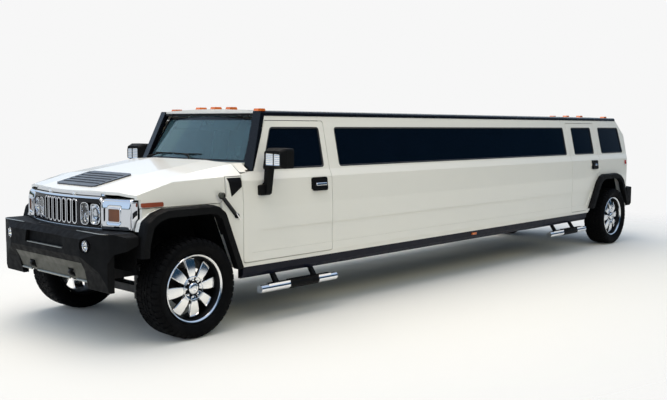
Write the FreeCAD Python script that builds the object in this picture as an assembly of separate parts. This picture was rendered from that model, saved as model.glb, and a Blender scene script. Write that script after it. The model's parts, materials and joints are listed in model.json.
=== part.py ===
"""Stretch limousine on a boxy off-road car: panels, doors, glass, wheels, underbody and cabin.

Millimetres. +X points forward, +Y to the car's left and +Z up. The origin is on the ground,
under the middle of the overall length. Each function below makes one node or one kind of node.
"""
import math
import os

import FreeCAD, Part

# Driving dimensions: length
BASE_WHEELBASE = 3118.0
STRETCH = 5080.0
FRONT_OVERHANG = 850.0
REAR_OVERHANG = 870.0
WHEELBASE = BASE_WHEELBASE + STRETCH
OVERALL_LENGTH = FRONT_OVERHANG + WHEELBASE + REAR_OVERHANG
FRONT_AXLE_X = OVERALL_LENGTH / 2 - FRONT_OVERHANG
REAR_AXLE_X = FRONT_AXLE_X - WHEELBASE

# Clearances
SEAT_GAP = 0.3
SHUT_GAP = 6.0
RUNNING_CLEARANCE = 0.05

# Wheels and axles
TYRE_RADIUS = 435.0
TYRE_WIDTH = 315.0
TYRE_SHOULDER = 30.0
TYRE_BEAD_INSET = 20.0
TYRE_SIDE_RISE = 58.0
TYRE_SIDES = 64
TRACK = 1763.0
RIM_RADIUS = 298.0
RIM_WIDTH = 262.0
RIM_WALL = 30.0
SPOKE_COUNT = 8
SPOKE_WIDTH = 74.0
SPOKE_DEPTH = 40.0
SPOKE_FACE_INSET = 26.0
HUB_RADIUS = 72.0
HUB_CAP_RADIUS = 46.0
HUB_CAP_HEIGHT = 16.0
STUB_RADIUS = 34.0
DISC_RADIUS = 168.0
DISC_THICKNESS = 28.0
KINGPIN_INSET = 159.5
KINGPIN_Y = TRACK / 2 - KINGPIN_INSET
KNUCKLE_PIN_RADIUS = 14.0
KNUCKLE_PIN_REACH = 145.0
HUB_BORE_DEPTH = 88.0
WISHBONE_THICKNESS = 30.0
STEER_LIMIT = 30.0

# Body side section: outer skin from the sill up, as distance from the centre plane and height
SILL_Z = 540.0
SKIN_Y = 960.0
SILL_TUCK = 10.0
SHOULDER_Z = 1330.0
SHOULDER_TUCK = 14.0
BELT_Z = 1402.0
BELT_Y = 912.0
CANT_Z = 1925.0
CANT_Y = 797.0
WALL_LOWER = 85.0
WALL_UPPER = 48.0
CHANNEL_LOW_Z = 664.0
CHANNEL_HIGH_Z = 868.0
CHANNEL_DEPTH = 7.0

# Roof
ROOF_CROWN_Z = 1992.0
ROOF_EDGE_Z = 1966.0
GUTTER_WIDTH = 52.0
ROOF_FRONT_X = FRONT_AXLE_X - 950.0
ROOF_REAR_X = REAR_AXLE_X - 430.0

# Side openings, as stations along the car
DOOR_FRONT_X = FRONT_AXLE_X - 593.0
DOOR_REAR_X = FRONT_AXLE_X - 1775.0
DOOR_SILL_Z = 583.0
DOOR_TOP_Z = 1878.0
PILLAR_FOOT_X = FRONT_AXLE_X - 770.0
PILLAR_HEAD_X = FRONT_AXLE_X - 985.0
WINDOW_LOW_Z = 1425.0
WINDOW_HIGH_Z = 1816.0
WINDOW_RADIUS = 26.0
FRONT_WINDOW_FOOT_X = FRONT_AXLE_X - 872.0
FRONT_WINDOW_HEAD_X = FRONT_AXLE_X - 1040.0
FRONT_WINDOW_REAR_X = FRONT_AXLE_X - 1700.0
LONG_WINDOW_FRONT_X = FRONT_AXLE_X - 1934.0
LONG_WINDOW_REAR_X = REAR_AXLE_X + 1368.0
REAR_DOOR_FRONT_X = REAR_AXLE_X + 1270.0
REAR_DOOR_REAR_X = REAR_AXLE_X + 372.0
REAR_WINDOW_FRONT_X = REAR_AXLE_X + 1118.0
REAR_WINDOW_REAR_X = REAR_AXLE_X + 500.0
QUARTER_WINDOW_FRONT_X = REAR_AXLE_X + 240.0
QUARTER_WINDOW_REAR_X = REAR_AXLE_X - 512.0
QUARTER_WINDOW_LEAN = 46.0
GLASS_THICKNESS = 5.0
GLASS_RECESS = 10.0

# Tail
TAIL_X = REAR_AXLE_X - 662.0
TAIL_KNEE_Z = 1700.0
TAIL_WALL = 60.0
TAIL_CORNER_RADIUS = 110.0
GATE_HALF_WIDTH = 640.0
GATE_SILL_Z = 880.0
GATE_TOP_Z = 1890.0
GATE_WINDOW_HALF_WIDTH = 520.0
GATE_WINDOW_LOW_Z = 1400.0
GATE_WINDOW_HIGH_Z = 1800.0
GATE_OPEN_ANGLE = 80.0
HINGE_Y = 400.0
HINGE_RADIUS = 12.0
HINGE_PIN_RADIUS = 6.0
HINGE_EAR_WIDTH = 22.0
HINGE_TONGUE = 34.0

# Nose
NOSE_X = FRONT_AXLE_X + 690.0
NOSE_BOW = 170.0
NOSE_HALF_WIDTH = 880.0
GRILLE_HALF_WIDTH = 574.0
GRILLE_LOW_Z = 958.0
GRILLE_HIGH_Z = 1234.0
GRILLE_CHAMFER = 38.0
GRILLE_DEPTH = 70.0
SLOT_COUNT = 7
SLOT_PITCH = 78.0
SLOT_WIDTH = 44.0
SLOT_HEIGHT = 196.0
SLOT_RING = 9.0
SLOT_RING_PROUD = 7.0
LAMP_CENTRE_Z = 1085.0
LAMP_BAY_INNER_Y = 298.0
LAMP_BAY_OUTER_Y = 552.0
LAMP_BAY_HEIGHT = 190.0
OUTER_LAMP_Y = 486.0
OUTER_LAMP_RADIUS = 56.0
INNER_LAMP_Y = 362.0
INNER_LAMP_RADIUS = 54.0
SMALL_LAMP_RADIUS = 30.0
LAMP_LENGTH = 60.0
CORNER_OUTER_Y = 862.0
TURN_LAMP_Y = 702.0
TURN_LAMP_WIDTH = 124.0
TURN_LAMP_HEIGHT = 114.0
TURN_LAMP_Z = 1088.0

# Bonnet
BONNET_WALL = 24.0
BONNET_LIP_X = NOSE_X - 30.0
BONNET_LIP_Z = GRILLE_HIGH_Z + 10.0
BONNET_REAR_X = DOOR_FRONT_X + SHUT_GAP
BONNET_OPEN_ANGLE = 70.0
BONNET_HINGE_Y = 200.0
BONNET_HINGE_RADIUS = 9.0
BONNET_PIN_RADIUS = 5.0
BONNET_EAR_WIDTH = 14.0
FLARE_TOP_Z = 1143.0
COWL_SIDE_FRONT_X = FRONT_AXLE_X - 402.0
COWL_SIDE_TOP_Z = 1372.0
WING_REAR_X = FRONT_AXLE_X - 345.0
COWL_VENT_PROUD = 6.0

# Door handles and mirrors
HANDLE_Z = 1262.0
FRONT_HANDLE_X = FRONT_AXLE_X - 1590.0
REAR_HANDLE_X = REAR_AXLE_X + 560.0
MIRROR_X = FRONT_AXLE_X - 880.0
MIRROR_Y = 1108.0
MIRROR_Z = 1534.0
MIRROR_WIDTH = 264.0
MIRROR_HEIGHT = 186.0
MIRROR_DEPTH = 150.0
MIRROR_POST_WIDTH = 68.0
MIRROR_FOOT_Z = 1190.0

# Windscreen and the cowl that it stands on
SCREEN_FOOT_X = FRONT_AXLE_X - 714.0
SCREEN_FOOT_Z = 1485.0
BULKHEAD_X = FRONT_AXLE_X - 799.0
PILLAR_BASE_X = FRONT_AXLE_X - 669.0
PILLAR_BASE_Z = BELT_Z - 36.0
PILLAR_BASE_Y = 806.0
SCREEN_HEADER = 24.0
SCREEN_HEAD_X = FRONT_AXLE_X - 955.0
SCREEN_HEAD_Z = CANT_Z
SCREEN_FOOT_HALF_WIDTH = 782.0
SCREEN_HEAD_HALF_WIDTH = 690.0
SCREEN_BOW = 60.0
SCREEN_THICKNESS = 6.0

# Arches and flares
FLARE_BAND = 74.0
FLARE_INNER_Y = 930.0
FLARE_OUTER_Y = 1031.0
LINER_INNER_Y = 470.0
LINER_WALL = 6.0

# Bumpers
BUMPER_TOP_Z = 962.0
BUMPER_CREASE_Z = 760.0
BUMPER_FACE_X = FRONT_AXLE_X + FRONT_OVERHANG
BUMPER_LOW_Z = 476.0
BUMPER_CORNER_Y = 985.0
BUMPER_SHELF = 22.0
REAR_BUMPER_FACE_X = REAR_AXLE_X - REAR_OVERHANG

SKID_HALF_WIDTH = 560.0
FOG_LAMP_Y = 640.0
FOG_LAMP_Z = 850.0
FOG_LAMP_RADIUS = 58.0
FOG_LAMP_DEPTH = 60.0
FOG_LAMP_INSET = 14.0
PLATE_HOLE_SPACING = 177.8
PLATE_HOLE_RADIUS = 3.5
PLATE_HOLE_DEPTH = 26.0
PLATE_RECESS = 34.0
FRONT_PLATE_Z = 852.0
REAR_PLATE_Z = 795.0
WING_NOSE_Y = 896.0
ROOF_LAMP_SETBACK = 110.0
ROOF_LAMP_OUTER_Y = 655.0
ROOF_LAMP_INNER_Y = 240.0

# Frame and underbody
RAIL_Y = 410.0
RAIL_WIDTH = 76.0
RAIL_HEIGHT = 150.0
RAIL_TOP_Z = 600.0
RAIL_WALL = 8.0
RAIL_AXLE_HEIGHT = 92.0
RAIL_FRONT_X = FRONT_AXLE_X + 600.0
RAIL_REAR_X = REAR_AXLE_X - 640.0
FLOOR_Z = RAIL_TOP_Z + SEAT_GAP
FLOOR_THICKNESS = 34.0
CROSSMEMBER_COUNT = 9
CROSSMEMBER_WIDTH = 80.0
CROSSMEMBER_HEIGHT = 64.0
SCUTTLE_THICKNESS = 26.0
ROCKER_LOW_Z = 432.0
STEP_RADIUS = 38.0
STEP_Y = 1004.0
STEP_Z = 322.0
AXLE_TUBE_RADIUS = 44.0
DIFFERENTIAL_RADIUS = 130.0

# Cabin
SEAT_WIDTH = 540.0
SEAT_Y = 400.0
SEAT_FRONT_X = FRONT_AXLE_X - 1110.0
SEAT_HEIGHT = 330.0
SEAT_DEPTH = 500.0
SEAT_BACK_HEIGHT = 640.0
BENCH_DEPTH = 520.0
PARTITION_X = FRONT_AXLE_X - 1900.0
PARTITION_THICKNESS = 36.0
BENCH_FRONT_X = PARTITION_X - 260.0
BENCH_REAR_X = REAR_DOOR_FRONT_X + 90.0
BAR_DEPTH = 380.0
BAR_HEIGHT = 560.0


def at(x, y, z):
    """A point."""
    return FreeCAD.Vector(x, y, z)


PLANES = {
    "XY": (lambda a, b, c: at(a, b, c), at(0, 0, 1)),
    "XZ": (lambda a, b, c: at(a, c, b), at(0, 1, 0)),
    "YZ": (lambda a, b, c: at(c, a, b), at(1, 0, 0)),
}


def rounded_edges(points, place):
    """Edges of a closed outline whose points are (a, b) or, with a corner radius, (a, b, radius)."""
    count = len(points)
    spans = []
    for index in range(count):
        a, b = points[index][0], points[index][1]
        radius = points[index][2] if len(points[index]) > 2 else 0.0
        before, after = points[index - 1], points[(index + 1) % count]
        into = (before[0] - a, before[1] - b)
        out = (after[0] - a, after[1] - b)
        into_length, out_length = math.hypot(*into), math.hypot(*out)
        into = (into[0] / into_length, into[1] / into_length)
        out = (out[0] / out_length, out[1] / out_length)
        cosine = max(-1.0, min(1.0, into[0] * out[0] + into[1] * out[1]))
        half = math.acos(cosine) / 2
        if radius <= 0 or half > math.radians(89.5):
            spans.append(((a, b), None, (a, b)))
            continue
        reach = radius / math.tan(half)
        limit = 0.48 * min(into_length, out_length)
        if reach > limit:
            reach = limit
            radius = reach * math.tan(half)
        middle = (into[0] + out[0], into[1] + out[1])
        size = math.hypot(*middle)
        depth = radius / math.sin(half) - radius
        spans.append((
            (a + into[0] * reach, b + into[1] * reach),
            (a + middle[0] / size * depth, b + middle[1] / size * depth),
            (a + out[0] * reach, b + out[1] * reach),
        ))
    edges = []
    for index in range(count):
        start, middle, end = spans[index]
        if middle:
            edges.append(Part.Arc(place(*start), place(*middle), place(*end)).toShape())
        following = spans[(index + 1) % count][0]
        if math.hypot(following[0] - end[0], following[1] - end[1]) > 1e-6:
            edges.append(Part.LineSegment(place(*end), place(*following)).toShape())
    return edges


def outline_wire(points, plane, offset=0.0):
    """A closed wire with rounded corners, in one of the main planes."""
    place, _ = PLANES[plane]
    return Part.Wire(rounded_edges(points, lambda a, b: place(a, b, offset)))


def prism(points, plane, start, end):
    """A solid with a straight section, from one offset along the plane's normal to another."""
    _, normal = PLANES[plane]
    face = Part.Face(outline_wire(points, plane, start))
    return face.extrude(normal * (end - start))


def box(low, high):
    """A block between two corners."""
    return Part.makeBox(high[0] - low[0], high[1] - low[1], high[2] - low[2], at(*low))


def rod(start, end, radius):
    """A round bar between two points."""
    along = at(*end) - at(*start)
    return Part.makeCylinder(radius, along.Length, at(*start), along)


def tube(start, end, radius, wall):
    """A round pipe between two points."""
    return rod(start, end, radius).cut(rod(start, end, radius - wall))


def offset_path(points, distance):
    """An open outline shifted to its left by a distance, with mitred corners."""
    normals = []
    for (a0, b0), (a1, b1) in zip(points, points[1:]):
        length = math.hypot(a1 - a0, b1 - b0)
        normals.append((-(b1 - b0) / length, (a1 - a0) / length))
    moved = []
    for index, (a, b) in enumerate(points):
        first = normals[max(index - 1, 0)]
        second = normals[min(index, len(normals) - 1)]
        scale = 1 + first[0] * second[0] + first[1] * second[1]
        moved.append((
            a + distance * (first[0] + second[0]) / scale,
            b + distance * (first[1] + second[1]) / scale,
        ))
    return moved


def mirrored(shape):
    """The same shape on the other side of the car."""
    return shape.mirror(at(0, 0, 0), at(0, 1, 0))


def both_sides(*shapes):
    """Shapes on the left with their mirror images on the right."""
    return Part.makeCompound(list(shapes) + [mirrored(shape) for shape in shapes])


def fuse_all(shapes):
    """One shape from many, with seams removed."""
    first, *others = shapes
    return first.fuse(others).removeSplitter() if others else first


def revolved(points, centre, axis):
    """A turned solid: points are (distance along the axis, radius) from the centre."""
    axis = at(*axis)
    side = at(0, 0, 1)
    corners = [at(*centre) + axis * along + side * radius for along, radius in points]
    wire = Part.makePolygon(corners + corners[:1])
    return Part.Face(wire).revolve(at(*centre), axis, 360)


def ring(items):
    """A compound of solids that share a node."""
    return Part.makeCompound(list(items))


# The side section and what follows from it

def side_skin():
    """Outer skin of the left side as (y, z), from the sill to the cant rail."""
    return [
        (SKIN_Y - SILL_TUCK, SILL_Z),
        (SKIN_Y, SILL_Z + 50.0),
        (SKIN_Y, SHOULDER_Z - 260.0),
        (SKIN_Y - SHOULDER_TUCK, SHOULDER_Z),
        (BELT_Y, BELT_Z),
        (CANT_Y, CANT_Z),
    ]


def inner_skin(clearance=0.0):
    """Inner face of the left wall as (y, z)."""
    lean = (BELT_Y - CANT_Y) / (CANT_Z - BELT_Z)
    upper = math.hypot(1.0, lean) * WALL_UPPER + clearance
    lower = SKIN_Y - WALL_LOWER - clearance
    belt = BELT_Y - upper
    return [
        (lower, SILL_Z),
        (min(lower, SKIN_Y - SHOULDER_TUCK - WALL_UPPER - clearance), SHOULDER_Z),
        (belt, BELT_Z),
        (CANT_Y - upper, CANT_Z),
    ]


def side_wall(front, rear):
    """The left wall as a straight length of the side section."""
    section = side_skin() + inner_skin()[::-1]
    rounded = [point + ((20.0,) if index in (2, 3, 4) else ()) for index, point in enumerate(section)]
    return prism(rounded, "YZ", rear, front)


def cabin_core(front, rear, low, high, clearance=SEAT_GAP):
    """The space between the two walls, less a clearance."""
    left = inner_skin(clearance)
    section = left + [(-y, z) for y, z in left[::-1]]
    core = prism(section, "YZ", rear, front)
    span = SKIN_Y * 2
    return core.common(box((rear, -span, low), (front, span, high)))


def glass_sheet(front, rear, inset=0.0):
    """A thin sheet that follows the upper wall, set back from the skin."""
    skin = side_skin()[-2:]
    outer = offset_path(skin, GLASS_RECESS)
    inner = offset_path(skin, GLASS_RECESS + GLASS_THICKNESS)
    return prism(outer + inner[::-1], "YZ", rear, front)


def slanted_window(front_low, front_high, rear_high, rear_low, inset=0.0):
    """A window's outline in side view, shrunk by an inset."""
    return [
        (front_low - inset, WINDOW_LOW_Z + inset, WINDOW_RADIUS),
        (front_high - inset, WINDOW_HIGH_Z - inset, WINDOW_RADIUS),
        (rear_high + inset, WINDOW_HIGH_Z - inset, WINDOW_RADIUS),
        (rear_low + inset, WINDOW_LOW_Z + inset, WINDOW_RADIUS),
    ]


def front_window(inset=0.0):
    """Front door window in side view."""
    return slanted_window(
        FRONT_WINDOW_FOOT_X, FRONT_WINDOW_HEAD_X, FRONT_WINDOW_REAR_X, FRONT_WINDOW_REAR_X, inset)


def rear_window(inset=0.0):
    """Rear door window in side view."""
    return slanted_window(
        REAR_WINDOW_FRONT_X, REAR_WINDOW_FRONT_X, REAR_WINDOW_REAR_X, REAR_WINDOW_REAR_X, inset)


def long_window(inset=0.0):
    """Window of the long middle section in side view."""
    return slanted_window(
        LONG_WINDOW_FRONT_X, LONG_WINDOW_FRONT_X, LONG_WINDOW_REAR_X, LONG_WINDOW_REAR_X, inset)


def quarter_window(inset=0.0):
    """Rear quarter window in side view."""
    return slanted_window(
        QUARTER_WINDOW_FRONT_X, QUARTER_WINDOW_FRONT_X,
        QUARTER_WINDOW_REAR_X + QUARTER_WINDOW_LEAN, QUARTER_WINDOW_REAR_X, inset)


def through_side(points):
    """A prism that cuts an outline in side view through the left side."""
    return prism(points, "XZ", 300.0, SKIN_Y + 200.0)


# Wheel arches

def front_arch_front():
    """The front arch's edge ahead of the wheel, from its top to its front foot."""
    x, top = FRONT_AXLE_X, FLARE_TOP_Z
    return [
        (x + 290.0, top), (x + 400.0, top - 34.0), (x + 490.0, top - 98.0), (x + 512.0, top - 173.0),
        (x + 540.0, top - 283.0), (x + 548.0, top - 413.0),
    ]


def front_arch_line():
    """The front arch that the wing and liner follow, from its rear foot over the wheel to its front foot."""
    return [
        (FRONT_AXLE_X - 578.0, SILL_Z), (WING_REAR_X, FLARE_TOP_Z - 30.0), (WING_REAR_X + 55.0, FLARE_TOP_Z),
    ] + front_arch_front()


def front_flare_line():
    """Outer edge of the front flare, from its rear foot over the wheel to its front foot."""
    x, top = FRONT_AXLE_X, FLARE_TOP_Z
    return [(x - 553.0, SILL_Z), (x - 344.0, top - 76.0), (x - 272.0, top - 22.0), (x - 205.0, top)] + front_arch_front()


def rear_flare_line():
    """Outer edge of the rear flare, from its rear foot over the wheel to its front foot."""
    x, top = REAR_AXLE_X, FLARE_TOP_Z - 37.0
    return [
        (x - 566.0, 610.0), (x - 345.0, top - 101.0), (x - 245.0, top - 31.0), (x - 125.0, top),
        (x + 330.0, top), (x + 430.0, top - 31.0), (x + 520.0, top - 106.0), (x + 768.0, SILL_Z + 60.0),
    ]


def rear_arch_line():
    """The rear arch that the body and liner follow, from its rear foot over the wheel to its front foot."""
    x = REAR_AXLE_X
    return [
        (x - 566.0, 610.0), (x - 362.0, 1062.0), (x - 240.0, 1136.0),
        (x + 372.0, 1136.0), (x + 470.0, 1088.0), (x + 768.0, SILL_Z + 60.0),
    ]


def arch_area(line, inset=0.0):
    """The area under an arch line, closed well below the car."""
    moved = offset_path(line, -inset) if inset else line
    first, last = moved[0], moved[-1]
    low = 200.0
    run_first = (first[0] + (first[0] - moved[1][0]) * (first[1] - low) / (moved[1][1] - first[1]), low)
    run_last = (last[0] + (last[0] - moved[-2][0]) * (last[1] - low) / max(moved[-2][1] - last[1], 1.0), low)
    rounded = [(a, b, 45.0) for a, b in moved[1:-1]]
    return [run_first] + rounded + [run_last]


def flare(line, foot_z):
    """A moulded flare round a wheel arch, with a chamfered outer edge."""
    lip = 22.0
    outer = prism(arch_area(line), "XZ", FLARE_INNER_Y + SEAT_GAP, FLARE_OUTER_Y - lip)
    wires = [
        outline_wire(arch_area(line), "XZ", FLARE_OUTER_Y - lip),
        outline_wire(arch_area(line, 14.0), "XZ", FLARE_OUTER_Y),
    ]
    outer = outer.fuse(Part.makeLoft(wires, True, True)).removeSplitter()
    opening = prism(arch_area(line, FLARE_BAND), "XZ", FLARE_INNER_Y - 50.0, FLARE_OUTER_Y + 50.0)
    band = outer.cut(opening)
    low = min(point[0] for point in line) - 900.0
    high = max(point[0] for point in line) + 900.0
    return band.cut(box((low, 0.0, 0.0), (high, FLARE_OUTER_Y + 100.0, foot_z)))


def wheel_liner(line, foot_z):
    """Inner wheel house: a shallow tub that follows the arch, open below and outboard."""
    outer_y = SKIN_Y - WALL_LOWER - SEAT_GAP
    shell = prism(arch_area(line, FLARE_BAND - 20.0 - LINER_WALL), "XZ", LINER_INNER_Y, outer_y)
    hollow = prism(arch_area(line, FLARE_BAND - 20.0), "XZ", LINER_INNER_Y + LINER_WALL, outer_y + 10.0)
    low = min(point[0] for point in line) - 900.0
    high = max(point[0] for point in line) + 900.0
    return shell.cut(hollow).cut(box((low, 0.0, 0.0), (high, FLARE_OUTER_Y, foot_z)))


# Doors

def front_door_outline(gap=0.0):
    """Front door in side view, shrunk by a gap. Its front edge is upright, then leans with the pillar."""
    return [
        (DOOR_FRONT_X - gap, DOOR_SILL_Z + gap, 30.0),
        (DOOR_FRONT_X - gap, BELT_Z - 10.0, 12.0),
        (PILLAR_FOOT_X - gap, BELT_Z + 12.0, 12.0),
        (PILLAR_HEAD_X - gap, DOOR_TOP_Z - gap, 20.0),
        (DOOR_REAR_X + gap, DOOR_TOP_Z - gap, 30.0),
        (DOOR_REAR_X + gap, DOOR_SILL_Z + gap, 30.0),
    ]


def rear_door_outline(gap=0.0):
    """Rear door in side view, shrunk by a gap, with its lower rear corner cut by the arch."""
    arch = rear_arch_line()
    return [
        (REAR_DOOR_FRONT_X - gap, DOOR_SILL_Z + gap, 30.0),
        (REAR_DOOR_FRONT_X - gap, DOOR_TOP_Z - gap, 30.0),
        (REAR_DOOR_REAR_X + gap, DOOR_TOP_Z - gap, 30.0),
        (REAR_DOOR_REAR_X + gap, arch[3][1] + 14.0 + gap, 30.0),
        (arch[4][0] + 22.0 + gap, arch[4][1] + 12.0 + gap, 20.0),
        (arch[5][0] + 40.0 + gap, DOOR_SILL_Z + gap, 30.0),
    ]


def channel_cutter():
    """The shallow recessed band that runs along the side, with a slanted front end."""
    points = [
        (DOOR_FRONT_X - 90.0, CHANNEL_LOW_Z, 8.0), (DOOR_FRONT_X - 215.0, CHANNEL_HIGH_Z, 8.0),
        (REAR_AXLE_X + 640.0, CHANNEL_HIGH_Z, 8.0), (REAR_AXLE_X + 800.0, CHANNEL_LOW_Z, 8.0),
    ]
    return prism(points, "XZ", SKIN_Y - CHANNEL_DEPTH, SKIN_Y + 60.0)


def handle_recess(x, z):
    """The dish behind a door handle."""
    half = 112.0
    points = [
        (x - half, z - 62.0, 18.0), (x + half, z - 62.0, 18.0),
        (x + half, z + 62.0, 18.0), (x - half, z + 62.0, 18.0),
    ]
    return prism(points, "XZ", SKIN_Y - 34.0, SKIN_Y + 60.0)


def door_panel(outline, window, handle_x):
    """A whole door, inner and outer skin together, with its window cut."""
    xs = [point[0] for point in outline]
    wall = side_wall(max(xs) + 10.0, min(xs) - 10.0)
    panel = wall.common(through_side(outline)).cut(through_side(window))
    panel = panel.cut(channel_cutter())
    return panel.cut(handle_recess(handle_x, HANDLE_Z))


def handle_paddle(x):
    """A paddle handle in its dish: a black plate with a raised grip."""
    base = SKIN_Y - 34.0
    points = [
        (x - 104.0, HANDLE_Z - 54.0, 14.0), (x + 104.0, HANDLE_Z - 54.0, 14.0),
        (x + 104.0, HANDLE_Z + 54.0, 14.0), (x - 104.0, HANDLE_Z + 54.0, 14.0),
    ]
    plate = prism(points, "XZ", base + SEAT_GAP, base + 22.0)
    grip = box((x - 92.0, base + 22.0, HANDLE_Z - 14.0), (x + 92.0, base + 40.0, HANDLE_Z + 14.0))
    return plate.fuse(grip).removeSplitter()


def door_mirror():
    """Door mirror: a deep housing on an arm that stands on the door below the belt."""
    foot_y = SKIN_Y - 30.0
    half_w, half_h = MIRROR_WIDTH / 2, MIRROR_HEIGHT / 2
    rear = [
        (MIRROR_Y - half_w, MIRROR_Z - half_h, 26.0), (MIRROR_Y + half_w, MIRROR_Z - half_h, 26.0),
        (MIRROR_Y + half_w, MIRROR_Z + half_h, 26.0), (MIRROR_Y - half_w, MIRROR_Z + half_h, 26.0),
    ]
    inset = 24.0
    front = [
        (MIRROR_Y - half_w + inset, MIRROR_Z - half_h + inset, 26.0),
        (MIRROR_Y + half_w - inset, MIRROR_Z - half_h + inset, 26.0),
        (MIRROR_Y + half_w - inset, MIRROR_Z + half_h - inset, 26.0),
        (MIRROR_Y - half_w + inset, MIRROR_Z + half_h - inset, 26.0),
    ]
    rear_x = MIRROR_X - MIRROR_DEPTH / 2
    housing = prism(rear, "YZ", rear_x, rear_x + MIRROR_DEPTH * 0.6)
    cap = Part.makeLoft([
        outline_wire(rear, "YZ", rear_x + MIRROR_DEPTH * 0.6),
        outline_wire(front, "YZ", rear_x + MIRROR_DEPTH),
    ], True, True)
    face = [(y, z, 18.0) for y, z in (
        (MIRROR_Y - half_w + 12.0, MIRROR_Z - half_h + 12.0), (MIRROR_Y + half_w - 12.0, MIRROR_Z - half_h + 12.0),
        (MIRROR_Y + half_w - 12.0, MIRROR_Z + half_h - 12.0), (MIRROR_Y - half_w + 12.0, MIRROR_Z + half_h - 12.0))]
    housing = housing.fuse(cap).cut(prism(face, "YZ", rear_x - 1.0, rear_x + 12.0))
    post_x = MIRROR_X + 17.0
    half_post = MIRROR_POST_WIDTH / 2
    foot = prism([
        (post_x - half_post, MIRROR_FOOT_Z, 12.0), (post_x + half_post + 60.0, MIRROR_FOOT_Z, 16.0),
        (post_x + half_post + 60.0, MIRROR_FOOT_Z + 92.0, 16.0), (post_x - half_post, MIRROR_FOOT_Z + 110.0, 4.0),
    ], "XZ", foot_y, SKIN_Y + 30.0)
    inner_y = MIRROR_Y - half_w
    post = prism([
        (foot_y, MIRROR_FOOT_Z + 6.0), (SKIN_Y + 44.0, MIRROR_FOOT_Z + 6.0, 20.0), (inner_y + 66.0, MIRROR_Z - half_h + 10.0),
        (inner_y + 4.0, MIRROR_Z - half_h + 30.0), (SKIN_Y + 8.0, MIRROR_FOOT_Z + 120.0), (foot_y, MIRROR_FOOT_Z + 90.0),
    ], "YZ", post_x - half_post, post_x + half_post)
    skin = side_wall(DOOR_FRONT_X, DOOR_REAR_X)
    skin.translate(at(0, SEAT_GAP, 0))
    return fuse_all([housing, foot, post]).cut(skin)


# Body shell

def arch_cutter(line):
    """Cuts a wheel arch through the side, just inside the flare's inner edge."""
    return prism(arch_area(line, FLARE_BAND - 14.0), "XZ", 400.0, SKIN_Y + 200.0)


def cowl_side_outline(gap=0.0):
    """The fixed side panel ahead of the front door, up to the bonnet's shut line."""
    rear_x = BONNET_REAR_X - 20.0 * gap
    return [
        (rear_x, SILL_Z - 1.0),
        (rear_x, COWL_SIDE_TOP_Z + gap),
        (COWL_SIDE_FRONT_X + gap, COWL_SIDE_TOP_Z + gap),
        (COWL_SIDE_FRONT_X + gap, 1200.0),
        (WING_REAR_X + gap, FLARE_TOP_Z + 1.0 + gap),
        (WING_REAR_X + gap, SILL_Z - 1.0),
    ]


def pillar_rear_x(z):
    """Where the windscreen pillar's rear edge runs, at a height."""
    foot, head, top = PILLAR_FOOT_X + SHUT_GAP + 2.0, PILLAR_HEAD_X - 22.0, ROOF_EDGE_Z + 4.0
    return foot + (head - foot) * (z - PILLAR_BASE_Z) / (top - PILLAR_BASE_Z)


def body_side():
    """Left body side from the cowl to the tail, with door openings, windows and the rear arch."""
    wall = side_wall(COWL_SIDE_FRONT_X + 80.0, TAIL_X)
    front_part = side_wall(COWL_SIDE_FRONT_X + 80.0, DOOR_FRONT_X + SHUT_GAP)
    front_part = front_part.common(through_side(cowl_side_outline()))
    front_part = front_part.cut(arch_cutter(front_arch_line()))
    rear_part = wall.cut(box((DOOR_FRONT_X + SHUT_GAP, 0.0, 0.0), (WING_REAR_X + 200.0, 1200.0, 2100.0)))
    rear_part = rear_part.cut(through_side(front_door_outline(-SHUT_GAP)))
    rear_part = rear_part.cut(through_side(rear_door_outline(-SHUT_GAP)))
    pillar_cut = [
        (DOOR_FRONT_X + 400.0, PILLAR_BASE_Z), (pillar_rear_x(PILLAR_BASE_Z) - 2.0, PILLAR_BASE_Z),
        (pillar_rear_x(CANT_Z + 20.0) - 2.0, CANT_Z + 20.0), (DOOR_FRONT_X + 400.0, CANT_Z + 20.0),
    ]
    rear_part = rear_part.cut(through_side(pillar_cut))
    rear_part = rear_part.cut(through_side(long_window())).cut(through_side(quarter_window()))
    rear_part = rear_part.cut(arch_cutter(rear_arch_line()))
    tail_cut = [
        (TAIL_X - 50.0, SILL_Z - 10.0), (TAIL_X + 6.0, SILL_Z - 10.0), (TAIL_X, TAIL_KNEE_Z, 60.0),
        (ROOF_REAR_X, CANT_Z + 20.0), (TAIL_X - 50.0, CANT_Z + 20.0),
    ]
    rear_part = rear_part.cut(through_side(tail_cut))
    plan = [(TAIL_X - 2.0, 0.0), (TAIL_X - 2.0, SKIN_Y + 2.0, TAIL_CORNER_RADIUS),
            (COWL_SIDE_FRONT_X + 300.0, SKIN_Y + 2.0), (COWL_SIDE_FRONT_X + 300.0, 0.0)]
    rear_part = rear_part.common(prism(plan, "XY", 0.0, CANT_Z + 100.0))
    side = rear_part.fuse(front_part)
    return side.cut(channel_cutter())


def roof_panel():
    """Crowned roof between the gutters, flat underneath."""
    half = CANT_Y - GUTTER_WIDTH - SEAT_GAP
    low = CANT_Z + SEAT_GAP
    x = ROOF_REAR_X
    crown = Part.Arc(at(x, -half, ROOF_EDGE_Z), at(x, 0, ROOF_CROWN_Z), at(x, half, ROOF_EDGE_Z)).toShape()
    rest = Part.makePolygon([at(x, half, ROOF_EDGE_Z), at(x, half, low), at(x, -half, low),
                             at(x, -half, ROOF_EDGE_Z)])
    face = Part.Face(Part.Wire([crown] + rest.Edges))
    return face.extrude(at(ROOF_FRONT_X - ROOF_REAR_X, 0, 0))


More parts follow.
